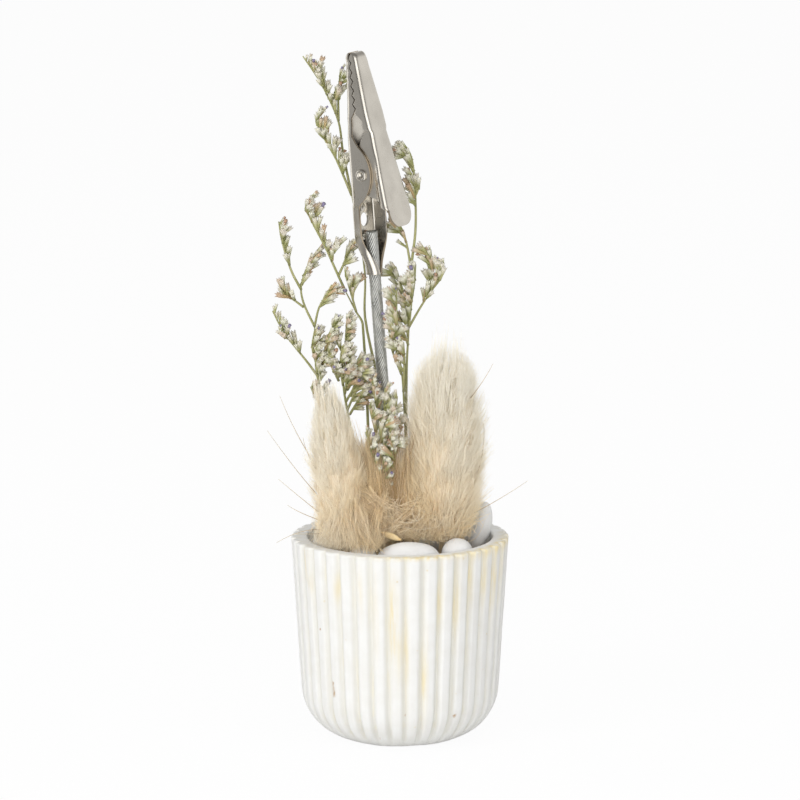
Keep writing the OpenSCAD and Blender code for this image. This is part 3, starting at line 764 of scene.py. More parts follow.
# Sizes of the spring are in mm, in the clip frame
COIL_R = 1.75
COIL_HALF = 2
COIL_TURNS = 3.5
COIL_STEPS = 24
SPRING_WIRE = 0.3
SEAT_GAP = 0.05
SPINE_LEG = (-8.5, -4)
LEVER_LEG = (-6, -7.4)
LEG_OUT = (0.15, 0.3)
LEG_LEAVES = -1.2


def swept(lines, resolution):
    """Closed round rods along lines of (points, radii, values), which hold their values in named layers."""
    curve = bpy.data.curves.new("rods", "CURVE")
    curve.dimensions, curve.bevel_depth, curve.bevel_resolution = "3D", 1.0, resolution
    for points, radii, _ in lines:
        spline = curve.splines.new("POLY")
        spline.points.add(len(points) - 1)
        spline.points.foreach_set("co", [c for p in points for c in (*p, 1.0)])
        spline.points.foreach_set("radius", radii)
    rods = placed("rods", curve)
    mesh = bpy.data.meshes.new_from_object(rods.evaluated_get(bpy.context.evaluated_depsgraph_get()))
    bpy.data.objects.remove(rods)
    sides = len(mesh.vertices) // sum(len(points) for points, _, _ in lines)
    held = {"reach": [np.repeat(np.linspace(0, 1, len(points)), sides) for points, _, _ in lines]}
    for key in lines[0][2]:
        held[key] = [np.full(len(points) * sides, values[key]) for points, _, values in lines]
    for key, values in held.items():
        layer = mesh.attributes.new(key, "FLOAT", "POINT")
        layer.data.foreach_set("value", np.concatenate(values).astype(np.float32))
    bm = bmesh.new()
    bm.from_mesh(mesh)
    bmesh.ops.holes_fill(bm, edges=[edge for edge in bm.edges if edge.is_boundary], sides=sides)
    return bm


def lever_seat(w):
    """Where the spring's leg lies under the lever's plate."""
    return LEVER_BACK - LEVER_LEAN * w - SHEET - SPRING_WIRE - SEAT_GAP


spine_seat = -(SPINE_BACK - SHEET) + SPRING_WIRE + 0.4 * SEAT_GAP
coil_count = round(COIL_TURNS * COIL_STEPS)
spring_line = [(spine_seat, -COIL_HALF, w) for w in SPINE_LEG]
spring_line.append((-COIL_R - LEG_OUT[0], -COIL_HALF, LEG_LEAVES))
for i in range(coil_count + 1):
    turn, side = math.pi - math.tau * COIL_TURNS * i / coil_count, 2 * i / coil_count - 1
    spring_line.append((COIL_R * math.cos(turn), COIL_HALF * side, COIL_R * math.sin(turn)))
spring_line.append((COIL_R + LEG_OUT[1], COIL_HALF, LEG_LEAVES))
spring_line += [(lever_seat(w), COIL_HALF, w) for w in LEVER_LEG]
spring_points = [clip_place @ (Vector(p) * MM) for p in spring_line]
spring_bm = swept([(spring_points, [SPRING_WIRE * MM] * len(spring_points), {})], 3)

# Drawn wire, darker than the rope's
spring_steel = clouded((900, 5000), (150, 149, 146), (178, 177, 173))
spring_material = finish_material("spring_wire", spring_steel, (0.25, 0.4), (0.08, 0.02 * MM), metallic=1.0)
spring = shown("spring_coil", spring_bm, [spring_material], None, "spring_steel", "torsion_spring")
coil_ends = [clip_place @ Vector((0, side * COIL_HALF * MM, 0)) for side in (-1, 1)]
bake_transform(spring, "holder", "lever", start=coil_ends[0], end=coil_ends[1])


# Grass heads
# Three dried hare's-tail heads: a stalk in the foam, a thin core, and thousands of soft silky hairs.
# The hairs grow upwards in tufts, tan where they leave the core and cream to white at their tips.

# Sizes of the grass are in mm, and shares are of a head's height, radius or hairs
HAIR_POINTS = 4
HAIR_R = 0.05
HAIR_FINE = (0.75, 1.15)
HAIR_COARSE = (1.5, 2)
COARSE = 0.16
TUFT_HAIRS = 18
TUFT_SHARE = 0.35
TUFT_HIGH = (0.02, 0.94)
TUFT_LONG = (0.75, 1.25)
TUFT_FILL = (0.86, 1.08)
HAIR_BOW = (-0.06, 0.1)
TIP_FULL = (0.14, 0.4)
WISPS = 0.09
WISP_HIGH = (0.9, 1.06)
LOOSE = 0.1
FLARES = 0.16
FLARE_FILL = (0.06, 0.22)
PIECE_TUFTS = 390
HAIR_SEED = 11
STALK_R = 0.7
STALK_LEN = 16
HEAD_LOW = 0.6
FOOT_BLUNT = 0.62
FOOT_FULL = 0.3
CORE_SHARE = 0.74
CORE_TALL = 0.88
CORE_RINGS = 48
CORE_STEPS = 72
RIM_INSIDE = 21.7
RIM_TOP = 46.1
SKIRT_RISE = 11
SKIRT_SWING = 0.22
SKIRT_SPREAD = 1.15
FAN_TUFTS = 190
FAN_FOOT = ((-6, 4), (-9, -5.5), (46, 53))
FAN_TALL = (7, 25)
FAN_WIDE = 3.6
# Stretch across, in mm, where the fan tufts start that get the most painted shade
FAN_SHADE_SPAN = (-3.5, 1)
FAN_SPREAD = 0.7
# Front stones: the place across from which the skirts keep behind a depth, in mm
FRONT_STONES = [(10, -7.5), (7, -12), (-4.2, -10.4)]
# Each head: its foot and top, its largest radius, the power that makes its top blunt, the least share of its
# radius near its foot, its tufts, how brown it is, and the tufts of its skirt with the angles and the shares
# of the way to the rim that they fall between
HEADS = {
    "grass_left": (
        (-12.2, -9, 48), (-16.7, -6.8, 81.5), 6.7, 0.45, 0.94, 520, 0.1, 230, (-3.4, -0.3), (0.6, 1.08)
    ),
    # The middle head's high brownness is partly its own tan and partly painted shade, for a head that stands
    # behind the left one
    "grass_middle": (
        (-4.4, -6.2, 46), (-7, -5.8, 69.5), 5, 0.5, 0.9, 340, 0.85, 80, (-2.6, -1.1), (0.5, 1.05)
    ),
    "grass_right": (
        (9.6, -4.4, 48), (10.8, -4.4, 90), 9.2, 0.22, 0.66, 800, 0.05, 120, (-2.9, -1.1), (0.2, 0.75)
    ),
}


def head_radius(share, blunt):
    """Outline of a head from its foot to its top, as a share of its largest radius."""
    turn = math.pi * min(max(share, 0.0), 1.0) ** HEAD_LOW
    return max(math.sin(turn), 0.0) ** (FOOT_BLUNT if turn < math.pi / 2 else blunt)


def hair_tan_and_shade(share, outer, foot, brown):
    """How tan the hair is, with painted shade: more tan towards a head's foot, and more on the side that faces the
    other heads, for the shade that falls there.
    """
    # Painted shade: the side that faces the other heads is made tan for the shade between them
    inward = max(-outer.x * math.copysign(1, foot.x), 0.0)
    low = max(1 - share, 0.0)
    return min(brown + 0.75 * low ** 2.1 + 0.8 * inward * low, 1.0)


def bent(start, pull, end, count):
    """Points of a curve from start to end that is drawn towards a third point."""
    shares = [i / (count - 1) for i in range(count)]
    return [start * (1 - s) ** 2 + pull * 2 * s * (1 - s) + end * s * s for s in shares]


def rod(line, first, last, **values):
    """A line in mm for swept, with a radius that goes evenly from one size to another, and its values."""
    steps = len(line) - 1
    radii = [(first + (last - first) * k / steps) * MM for k in range(steps + 1)]
    return [p * MM for p in line], radii, values


def scatter(draw, *sizes):
    """A random move, with its spread along each axis."""
    return Vector([draw.gauss(0, size) for size in sizes])


def hair_thickness(draw):
    """Radius of one hair at its root: most are fine, a few coarse."""
    return HAIR_R * draw.uniform(*(HAIR_COARSE if draw.random() < COARSE else HAIR_FINE))


def hair_tone(tone, draw):
    """Tone of one hair, partly its tuft's and partly its own."""
    return TUFT_SHARE * tone + (1 - TUFT_SHARE) * draw.random()


def tuft_hairs(foot, top, radius, blunt, least, brown, draw):
    """One tuft of a head: hairs of uneven length that leave the core, sweep up and stand off the head."""
    axis = top - foot
    side = axis.cross(Vector((0, 1, 0))).normalized()
    face = axis.cross(side).normalized()
    high, turn = draw.uniform(*TUFT_HIGH), draw.uniform(0, math.tau)
    if draw.random() < WISPS:
        high = draw.uniform(*WISP_HIGH)
    length = radius * draw.uniform(*TUFT_LONG)
    fill = draw.uniform(*TUFT_FILL)
    if draw.random() < FLARES:
        fill += draw.uniform(*FLARE_FILL)
    tone, bow = draw.random(), draw.uniform(*HAIR_BOW)
    drift, tip = draw.gauss(0, 0.2), draw.uniform(*TIP_FULL)
    lines = []
    for _ in range(TUFT_HAIRS):
        loose = draw.random() < LOOSE
        base = max(high - length * draw.uniform(0.8, 1.1) / axis.length, -0.03)
        share = high + draw.gauss(0.02 if loose else 0, 0.018) - 0.45 * (high - base) * draw.random() ** 2
        share += draw.uniform(0, 0.13) if loose and high > 0.8 else 0
        low_turn = turn + draw.gauss(0, 0.16)
        high_turn = turn + drift + draw.gauss(0, 0.25 if loose else 0.1)
        inner = side * math.cos(low_turn) + face * math.sin(low_turn)
        outer = side * math.cos(high_turn) + face * math.sin(high_turn)
        low_full, full = (max(head_radius(s, blunt), least if s < FOOT_FULL else tip) for s in (base, share))
        spread = full * fill * draw.uniform(0.95, 1.05) + (draw.uniform(0, 0.16) if loose else 0)
        end = foot + axis * share + outer * radius * spread
        start = foot + axis * base + inner * radius * low_full * CORE_SHARE * 0.85
        jitter = scatter(draw, 1, 1, 1) * radius * 0.02
        pull = start.lerp(end, 0.5) - outer * radius * bow + jitter
        line = bent(start, pull, end + jitter, HAIR_POINTS)
        thick = hair_thickness(draw)
        # A browner head gets darker hair; for the middle head this is partly painted shade
        shade = hair_tone(tone, draw) + 0.16 - 0.46 * brown
        lines.append(rod(line, thick, 0.2 * thick, tone=shade, warm=hair_tan_and_shade(share, outer, foot, brown)))
    return lines


def strand_tuft(start, pull, end, spread, warm, dark, draw):
    """A loose tuft of long hairs of uneven length that spread along a bent line."""
    tone = draw.random()
    lines = []
    for _ in range(TUFT_HAIRS):
        first, middle, last = (scatter(draw, 1, 1, 0.7) * spread * s for s in (0.6, 1, 0.8))
        tip = start.lerp(end, draw.uniform(0.6, 1.0)) + last
        line = bent(start + first, start.lerp(pull, 0.9) + middle, tip, HAIR_POINTS + 1)
        thick = hair_thickness(draw)
        lines.append(rod(line, thick, 0.25 * thick, tone=hair_tone(tone, draw) - dark, warm=warm))
    return lines


def skirt_hairs(foot, radius, brown, angles, reaches, draw):
    """One tuft of a head's skirt: it falls from the head's foot towards the rim, behind the front stones."""
    angle = draw.uniform(*angles)
    outer = Vector((math.cos(angle), math.sin(angle), 0))
    level = Vector((foot.x, foot.y, 0))
    along_way = level.dot(outer)
    room = math.sqrt(along_way ** 2 - level.length_squared + RIM_INSIDE ** 2) - along_way
    reach = room * (reaches[0] + (reaches[1] - reaches[0]) * draw.random() ** 0.6)
    rise = 1 + SKIRT_RISE * draw.random() ** 1.6
    start = foot + outer * radius * draw.uniform(0.1, 0.6) + Vector((draw.gauss(0, 1), 0, rise))
    swing = Matrix.Rotation(draw.gauss(0, SKIRT_SWING), 3, "Z")
    end = level + swing @ outer * reach
    end.xy *= min(1, RIM_INSIDE / end.xy.length)
    end.y = max(end.y, next((depth for across, depth in FRONT_STONES if end.x >= across), end.y))
    end.z = RIM_TOP + 3.4 * (1 - end.xy.length / RIM_INSIDE) + draw.uniform(-0.2, 0.6)
    pull = start.lerp(end, 0.55) + outer * 0.8 + Vector((0, 0, draw.uniform(0.5, 2.5)))
    warm = min(max(0.85 + 0.05 * (end.x + 10), 0.2) + draw.uniform(-0.15, 0.15), 1.0)
    warm = max(warm * (1 - 0.035 * rise), brown)
    # Painted shade: a skirt tuft is darkened along with its tan, for the shade at the heads' feet
    return strand_tuft(start, pull, end, SKIRT_SPREAD, warm, 0.34 * warm + 0.14 * brown, draw)


def fan_hairs(draw):
    """One tuft of the brown fan between the heads, from the foot of the stem up and apart, darkened as painted
    shade.
    """
    start = Vector([draw.uniform(*ends) for ends in FAN_FOOT])
    end = start + Vector((draw.gauss(0, FAN_WIDE), draw.uniform(-1.2, 0.6), draw.uniform(*FAN_TALL)))
    pull = start.lerp(end, 0.5) + Vector((draw.gauss(0, 0.8), -0.4, 0.8))
    # Painted shade: the fan is darkened for the shade in the gap between the heads, most in its middle stretch
    dark = 0.7 if FAN_SHADE_SPAN[0] < start.x < FAN_SHADE_SPAN[1] else 0.3
    return strand_tuft(start, pull, end, FAN_SPREAD, draw.uniform(0.8, 1.0), dark, draw)


def silk(tree):
    """Dry silky hair: tan at the root, cream along its length, nearly white at the tip; its tan and dark brown
    mixes also carry painted shade.
    """
    reach, tone, warm = (attribute(tree, name) for name in ("reach", "tone", "warm"))
    pale = mixed(tree, ranged(tree, reach, 0.1, 0.7), srgb(255, 245, 221), srgb(255, 252, 241))
    tan = mixed(tree, ranged(tree, reach, 0.1, 0.9), srgb(244, 208, 148), srgb(253, 232, 188))
    colour = mixed(tree, warm, pale, tan)
    # A low tone mixes in dark brown: at random from hair to hair, and as painted shade where the tone is lowered
    return mixed(tree, ranged(tree, tone, -0.4, 0.4, 1.0, 0.0), colour, srgb(166, 128, 76)), None, None


silk_material = finish_material("dry_silk", silk, 0.7, specular=0.2)
silk_shader = silk_material.node_tree.nodes["Principled BSDF"]
silk_shader.inputs["Sheen Weight"].default_value = 1.0
silk_shader.inputs["Sheen Roughness"].default_value = 0.5
silk_shader.inputs["Sheen Tint"].default_value = srgb(255, 244, 222)

for seed, (name, head) in enumerate(HEADS.items()):
    foot, top, radius, blunt, least, tufts, brown, skirt, angles, reaches = head
    foot, top = Vector(foot), Vector(top)
    stand = Matrix.Translation(foot * MM) @ pointed(top - foot)
    tall = (top - foot).length
    core_line = [(0, -STALK_LEN), (STALK_R, -STALK_LEN), (STALK_R, -0.5)]
    for i in range(1, CORE_RINGS):
        full = max(head_radius(i / CORE_RINGS, blunt), least if i < FOOT_FULL * CORE_RINGS else 0)
        core_line.append((radius * CORE_SHARE * full, tall * CORE_TALL * i / CORE_RINGS))
    core_bm = spun([(r * MM, z * MM) for r, z in core_line + [(0, tall * CORE_TALL)]], CORE_STEPS)
    reach, tone, warm = (core_bm.verts.layers.float.new(key) for key in ("reach", "tone", "warm"))
    for v in core_bm.verts:
        share, angle = v.co.z / (tall * MM), math.atan2(v.co.y, v.co.x)
        strand = Vector((8 * math.cos(angle), 8 * math.sin(angle), 5 * share + seed))
        ruff = 1 + 0.09 * noise.noise(strand) + 0.05 * noise.noise(strand * 2.3)
        if share > 0:
            v.co.x, v.co.y = v.co.x * ruff, v.co.y * ruff
        v.co = stand @ v.co
        outer = (v.co / MM - foot).normalized()
        # Painted shade: the core gets a low tone, and so dark brown, to show as the shade between the hairs
        v[reach], v[tone] = 0.5, 0.12 - 0.2 * brown + 0.2 * noise.noise(strand * 1.7)
        v[warm] = 0.8 * hair_tan_and_shade(share, outer, foot, brown)
    shown(name + "_core", core_bm, [silk_material], "holder", "dried_grass", name)
    draw = random.Random(HAIR_SEED + seed)
    grown = [tuft_hairs(foot, top, radius, blunt, least, brown, draw) for _ in range(tufts)]
    grown += [skirt_hairs(foot, radius, brown, angles, reaches, draw) for _ in range(skirt)]
    if name == "grass_middle":
        grown += [fan_hairs(draw) for _ in range(FAN_TUFTS)]
    for k in range(0, len(grown), PIECE_TUFTS):
        lines = [line for tuft in grown[k:k + PIECE_TUFTS] for line in tuft]
        hair_name = f"{name}_hair_{k // PIECE_TUFTS + 1}"
        shown(hair_name, swept(lines, 0), [silk_material], "holder", "dried_grass")


# Flower sprigs
# Seven dried sprigs of sea lavender: thin olive stems that branch into one-sided spikes of small flowers.
# Each flower is a papery pleated cup in a green bract, and some still hold a purple or rusty petal.

# Sizes of the sprigs are in mm
STEM_R = 0.5
TWIG_R = 0.32
SIDE_R = 0.22
FLOWER_STALK_R = 0.18
TIP_R = 0.15
PATH_STEPS = 5
CUP = [(0, 0), (0.18, 0.25), (0.32, 1.2), (0.42, 2.3), (0.52, 3.0), (0.26, 2.6), (0, 2.5)]
CUP_LEN = 3.0
CUP_STEPS = 10
MOUTH = 2.9
PLEAT = (0.7, 0.45)
FLOWER_SIZE = (1.0, 1.4)
FLOWER_SWAY = (0.16, 0.16, 0.16)
OPEN_SHARE = 0.07
GROUP_GAIN = 1.2
GROUP_SIZES = (1, 2, 2)
FLOWER_LEAN = (0.42, 0.7)
TWIG_EVERY = 5
TWIG_LEN = (1.8, 3.4)
TWIG_POINTS = 6
TWIG_FLOWERS = 3
LEAN = (0.9, -0.4, 0.5)
LEAN_TURNS = -1.5
SPRIG_SEED = 31
# Branches: flower groups, bare share of the branch, and the points that it follows in mm
SPRIGS = {
    "sprig_tall_left": [
        (0, 1, [
            (-3, 6, 30), (-3.5, 6, 50), (-5, 6, 80), (-8, 6.5, 96), (-8, 7, 106), (-9.5, 7.5, 116),
            (-11, 7.5, 124)
        ]),
        (12, 0.15, [
            (-11, 7.5, 124), (-14.5, 6.5, 132.5), (-17, 5.5, 137), (-19, 5, 141), (-18.5, 5, 143.5)
        ]),
        (14, 0.45, [
            (-11, 7.5, 124), (-13, 8, 134), (-14, 8, 141), (-17, 7.5, 148), (-19, 7, 151.5), (-22, 6.5, 156)
        ]),
        (5, 0.4, [(-14, 8, 141), (-14, 8.5, 147), (-13.5, 8.5, 153)]),
    ],
    "sprig_mid_left": [
        (0, 1, [(-6.5, 3, 30), (-7, 3, 60), (-8.5, 3, 95), (-10, 2.5, 98), (-12.5, 2, 103)]),
        (16, 0.3, [
            (-12.5, 2, 103), (-14, 1, 106.5), (-17, -0.5, 113.5), (-20, -1.5, 119.5), (-21, -2, 122.5),
            (-20, -2, 125.5)
        ]),
        (6, 0.35, [(-14, 1, 106.5), (-12.5, 1.5, 110), (-11.5, 2, 114)]),
        (5, 0.4, [(-10, 2.5, 98), (-11, 1, 102), (-12.5, 0, 107)]),
    ],
    "sprig_far_left": [
        (0, 1, [(-8.5, 6.5, 30), (-10.5, 7.5, 50), (-15.5, 7, 70), (-19, 4, 83), (-19.5, 3, 94.5)]),
        (9, 0.5, [(-19.5, 3, 94.5), (-22, 3, 100), (-22.5, 3, 104), (-20.5, 3, 109.5), (-18, 3.5, 113)]),
        (9, 0.35, [(-22.5, 3, 103), (-24.5, 2, 107), (-26, 1.5, 111.5), (-27, 1, 115.5), (-27.5, 1, 119)]),
        (5, 0.4, [(-22, 3, 99), (-24.5, 2, 101), (-26.5, 1.5, 102)]),
        (7, 0.35, [(-19.5, 3, 94.5), (-18.5, 1, 99), (-17, -1, 102), (-15.5, -2.5, 105)]),
        (8, 0.4, [(-19, 4, 83), (-21, 3, 86), (-24, 2, 90), (-26.5, 1, 93.5), (-29, 0.5, 98.5)]),
        (6, 0.2, [(-17.5, 5.5, 76), (-19.2, 2, 78), (-20.4, 0, 81)]),
        (7, 0.1, [(-19.2, 3.5, 86), (-20, 1, 90), (-19.5, -0.5, 94)]),
        (9, 0.05, [(-18.5, 4.5, 81), (-19.2, 2, 86.5), (-18.6, 0.5, 92)]),
        (8, 0.1, [(-18.8, 4, 84), (-17.4, 1, 88), (-16.8, -0.5, 93)]),
    ],
    "sprig_short_left": [
        (0, 1, [(-6, 8.5, 30), (-8, 8.5, 50), (-12, 5, 74), (-13, 2, 82), (-12.5, 0, 88)]),
        (9, 0.2, [(-12.5, 0, 88), (-12.3, -1.5, 93), (-12, -2.5, 98)]),
        (8, 0.25, [(-12.5, 0, 88), (-14.5, -1, 92), (-15.5, -1.5, 96)]),
        (9, 0.25, [(-13, 2, 82), (-11, 0, 85.5), (-9.5, -1.5, 86.5)]),
        (8, 0.2, [(-12, 4.5, 75), (-10, 1, 80), (-8, -1, 83.5)]),
        (9, 0.05, [(-13, 2, 81), (-13.6, -1, 86), (-13.2, -2.5, 91)]),
        (9, 0.05, [(-12.4, 2, 80), (-12, -1, 85), (-11.6, -2.5, 90.5)]),
        (8, 0.05, [(-14, 2.5, 82), (-15.6, 0, 86), (-16.4, -1.5, 90.5)]),
        (8, 0.15, [(-12.3, 4, 77), (-10.5, 1, 81), (-9.6, -1, 85.5)]),
        (8, 0.15, [(-11.5, 3.5, 74), (-9.2, 0.5, 78.5), (-7.8, -1, 82)]),
        (7, 0.1, [(-12.6, 3, 79), (-12, 0.5, 82.5), (-11.2, -1, 86)]),
    ],
    "sprig_low_centre": [
        (0, 1, [(-2, -5, 32), (-2.5, -5, 50), (-3, -5, 62)]),
        (10, 0.15, [(-3, -5, 62), (-4, -4.5, 70), (-5.5, -4, 78), (-6.5, -4, 83.5)]),
        (9, 0.2, [(-3, -5, 62), (-2, -4.5, 70), (-2.5, -4, 77)]),
        (6, 0.3, [(-3, -5, 60), (-2.5, -7, 69), (-2.5, -8, 74)]),
        (9, 0.3, [(-3.4, -5, 64), (-5.4, -6, 71), (-7, -6.5, 78)]),
        (8, 0.3, [(-3, -5, 64), (-1.6, -6, 72), (-0.6, -6, 80)]),
        (8, 0.3, [(-3.4, -5.5, 64), (-4.4, -7.5, 70), (-4.6, -8.5, 76)]),
        (7, 0.35, [(-3, -5.5, 64), (-2.4, -8, 70), (-2, -9, 76)]),
        (8, 0.3, [(-3.2, -5, 68), (-3.6, -6, 75), (-3.4, -6.5, 82)]),
        (6, 0.3, [(-2.8, -5, 54), (-4.6, -7.5, 61), (-6.8, -8.6, 68.5)]),
        (6, 0.3, [(-2.6, -5, 54), (-3.4, -8, 61), (-4, -9.4, 67.5)]),
        (6, 0.3, [(-2.4, -5, 55), (-1.4, -8, 62), (-1, -9.2, 69)]),
        (6, 0.3, [(-3, -5, 60), (-6, -6.5, 66), (-7.8, -7.5, 72)]),
    ],
    "sprig_tall_right": [
        (0, 1, [(2, 5, 30), (1.5, 5, 60), (1.5, 4.5, 84), (2, 4.5, 94), (2.5, 4.5, 108)]),
        (15, 0.35, [
            (2.5, 4.5, 108), (3.5, 5, 116), (3.5, 5.5, 124), (3, 6, 131), (2, 6, 134.5), (0, 6, 136.5)
        ]),
        (7, 0.3, [(2.5, 4.5, 108), (1, 6, 115), (-1, 7, 118)]),
        (12, 0.35, [(2, 4.5, 94), (4.5, 4, 98.5), (7, 3.5, 102.5), (9.5, 3, 106), (10, 3, 109)]),
        (5, 0.4, [(6.8, 3.6, 102), (7.5, 4.5, 107), (7, 5, 112)]),
        (7, 0.3, [(2, 4.5, 94), (0.5, 5, 103), (-1, 5.5, 108)]),
        (8, 0.2, [(2.2, 4.5, 98), (3.2, 3, 104), (3.6, 2, 109)]),
        (9, 0.1, [(1.8, 4, 92), (1.2, 3, 98), (0.4, 2, 104)]),
        (9, 0.1, [(2, 4, 94), (2.6, 2.5, 100), (3, 1.5, 105.5)]),
        (8, 0.1, [(1.9, 4.2, 90), (0.2, 3, 95), (-1.2, 2, 100)]),
    ],
    "sprig_low_right": [
        (0, 1, [(2.2, 0, 32), (1.6, 0, 60), (0.8, -0.5, 80), (0, -1, 88)]),
        (10, 0.15, [(0, -1, 88), (-0.6, -2, 95), (-0.8, -2.4, 104)]),
        (6, 0.3, [(0.8, -0.5, 80), (1, -2.5, 88), (0.8, -3.5, 92)]),
        (6, 0.2, [(0.4, -0.8, 84), (-1.8, -2, 90), (-2.6, -2.6, 95)]),
    ],
}


def smooth_path(points):
    """A smooth line through given points, which keeps to each stretch's own length."""
    points = [Vector(p) for p in points]
    last = len(points) - 1
    ways = [(points[min(i + 1, last)] - points[max(i - 1, 0)]).normalized() for i in range(last + 1)]
    line = []
    for i in range(last):
        reach = (points[i + 1] - points[i]).length
        for k in range(PATH_STEPS):
            s = k / PATH_STEPS
            line.append(
                points[i] * (2 * s ** 3 - 3 * s ** 2 + 1) + ways[i] * reach * (s ** 3 - 2 * s ** 2 + s)
                + points[i + 1] * (3 * s ** 2 - 2 * s ** 3) + ways[i + 1] * reach * (s ** 3 - s ** 2)
            )
    return line + [points[-1]]


def flower_mesh(name, petals):
    """A pleated cup in its bract, along +Z from its foot, with or without a tuft of petals."""
    bm = spun([(r * MM, z * MM) for r, z in CUP], CUP_STEPS)
    for v in bm.verts:
        if v.co.z > MOUTH * MM and round(math.atan2(v.co.y, v.co.x) / math.tau * CUP_STEPS) % 2:
            v.co = (v.co.x * PLEAT[0], v.co.y * PLEAT[0], v.co.z - PLEAT[1] * MM)
    reach, bloom = (bm.verts.layers.float.new(key) for key in ("reach", "bloom"))
    for v in bm.verts:
        v[reach] = v.co.z / (CUP_LEN * MM)
    lean = Matrix.Translation((0.24 * MM, 0, 0.8 * MM)) @ Matrix.Rotation(0.18, 4, "Y")
    bract = bmesh.ops.create_cone(
        bm, cap_ends=True, segments=5, radius1=0.3 * MM, radius2=0.05 * MM, depth=1.8 * MM,
        matrix=lean @ Matrix.Diagonal((0.55, 1.2, 1, 1))
    )["verts"]
    for v in bract:
        v[reach] = 0.12
    if petals:
        tuft = bmesh.ops.create_cone(
            bm, cap_ends=True, segments=5, radius1=0.1 * MM, radius2=0.38 * MM, depth=1.0 * MM,
            matrix=Matrix.Translation((0, 0, MOUTH * MM))
        )["verts"]
        for v in tuft:
            v[reach], v[bloom] = 1.0, 1.0
    for face in bm.faces:
        face.material_index = 1
    return mesh_of(name, bm)


flower_plain = flower_mesh("flower_plain", False)
flower_open = flower_mesh("flower_open", True)


def set_flower(bm, place, way, size, draw):
    """Adds one flower to a sprig, at a place and along a way."""
    mesh = flower_open if draw.random() < OPEN_SHARE else flower_plain
    turn = pointed(way) @ Matrix.Rotation(draw.uniform(0, math.tau), 4, "Z")
    flower = mesh.copy()
    flower.transform(Matrix.Translation(place * MM) @ turn @ Matrix.Scale(size, 4))
    start = len(bm.verts)
    bm.from_mesh(flower)
    bpy.data.meshes.remove(flower)
    bm.verts.ensure_lookup_table()
    tone, tint = bm.verts.layers.float["tone"], bm.verts.layers.float["tint"]
    shade, rust = draw.random(), float(draw.random() < 0.5)
    for v in bm.verts[start:]:
        v[tone], v[tint] = shade, rust


def line_at(line, share):
    """A place along a line of points, and the line's way there."""
    spot = share * (len(line) - 1)
    k = min(int(spot), len(line) - 2)
    return line[k].lerp(line[k + 1], spot - k), (line[k + 1] - line[k]).normalized()


def side_way(way, lean, fan):
    """A way out from a branch, turned by an angle from the side that it leans to."""
    lean = (lean - way * lean.dot(way)).normalized()
    return lean * math.cos(fan) + way.cross(lean) * math.sin(fan)


def grow_sprig(branches, seed):
    """A sprig: swept stems, side twigs, and flowers along the inner side of each bend of its branches."""
    draw = random.Random(seed)
    rows = []
    for count, bare, points in branches:
        line = smooth_path(points)
        lean = Vector(LEAN)
        if line[-1].x > LEAN_TURNS:
            lean.x = -lean.x
        rows.append((count, bare, line, lean, STEM_R if count == 0 else TWIG_R))
        twigs = count // TWIG_EVERY
        for i in range(twigs):
            place, way = line_at(line, bare + (0.85 - bare) * (i + draw.random()) / twigs)
            out = side_way(way, lean, draw.gauss(0, 0.7))
            tip = place + (way * 0.85 + out * 0.5) * draw.uniform(*TWIG_LEN)
            twig = bent(place, place.lerp(tip, 0.5) + out * 0.5, tip, TWIG_POINTS)
            rows.append((TWIG_FLOWERS, 0.4, twig, lean, SIDE_R))
    stems, groups = [], []
    for count, bare, line, lean, thick in rows:
        stems.append(rod(line, thick, TIP_R, tone=draw.random(), tint=0.0, bloom=0.0))
        spots = round(count * GROUP_GAIN)
        for i in range(spots):
            share = bare + (0.95 - bare) * i / max(spots - 1, 1)
            place, way = line_at(line, share)
            out = side_way(way, lean, (0.5 if i % 2 else -0.5) + draw.gauss(0, 0.25))
            spread = draw.uniform(*FLOWER_LEAN)
            aim = (way * math.cos(spread) + out * math.sin(spread)).normalized()
            groups.append((place, aim, way, 1 - 0.45 * ease(share, 0.6, 1)))
            stalk = [place, place + aim * 0.5]
            stems.append(rod(stalk, FLOWER_STALK_R, TIP_R, tone=draw.random(), tint=0.0, bloom=0.0))
    bm = swept(stems, 1)
    for place, aim, way, size in groups:
        for k in range(draw.choice(GROUP_SIZES)):
            out = (aim + scatter(draw, *FLOWER_SWAY) + way * 0.12 * k).normalized()
            start = place + aim * (0.15 + 0.35 * k)
            set_flower(bm, start, out, size * draw.uniform(*FLOWER_SIZE), draw)
    return bm


def papery(tree):
    """Flower from foot to mouth: olive bract, pale green cup, papery white mouth, coloured petals."""
    reach, tone, tint, bloom = (attribute(tree, name) for name in ("reach", "tone", "tint", "bloom"))
    fine = grain_in(tree, 900, 3500)
    foot = mixed(tree, tone, srgb(142, 145, 92), srgb(186, 183, 136))
    mouth = mixed(tree, tone, srgb(240, 238, 225), srgb(222, 212, 208))
    cup = mixed(tree, ranged(tree, reach, 0.4, 1.05), foot, mouth)
    dry = mixed(tree, ranged(tree, tone, 0.78, 0.95, 0.0, 0.7), cup, srgb(184, 150, 112))
    petal = mixed(tree, tint, srgb(136, 128, 156), srgb(178, 146, 122))
    return mixed(tree, bloom, dry, petal), fine["Grain"], fine["Height"]


# Dry olive green, streaked along the stem and browner in places
stem_green = clouded((420, 3000, 0.2), (146, 150, 98), (178, 176, 128), (0.0, 0.2, (132, 112, 76)), "Grain")
stem_material = finish_material("sprig_stem", stem_green, (0.6, 0.85), (0.3, 0.1 * MM))
flower_material = finish_material("sprig_flower", papery, (0.7, 0.95), (0.3, 0.1 * MM), specular=0.25)
for seed, (name, branches) in enumerate(SPRIGS.items()):
    sprig_bm = grow_sprig(branches, SPRIG_SEED + seed)
    shown(name + "_plant", sprig_bm, [stem_material, flower_material], "holder", "dried_sprig", name)


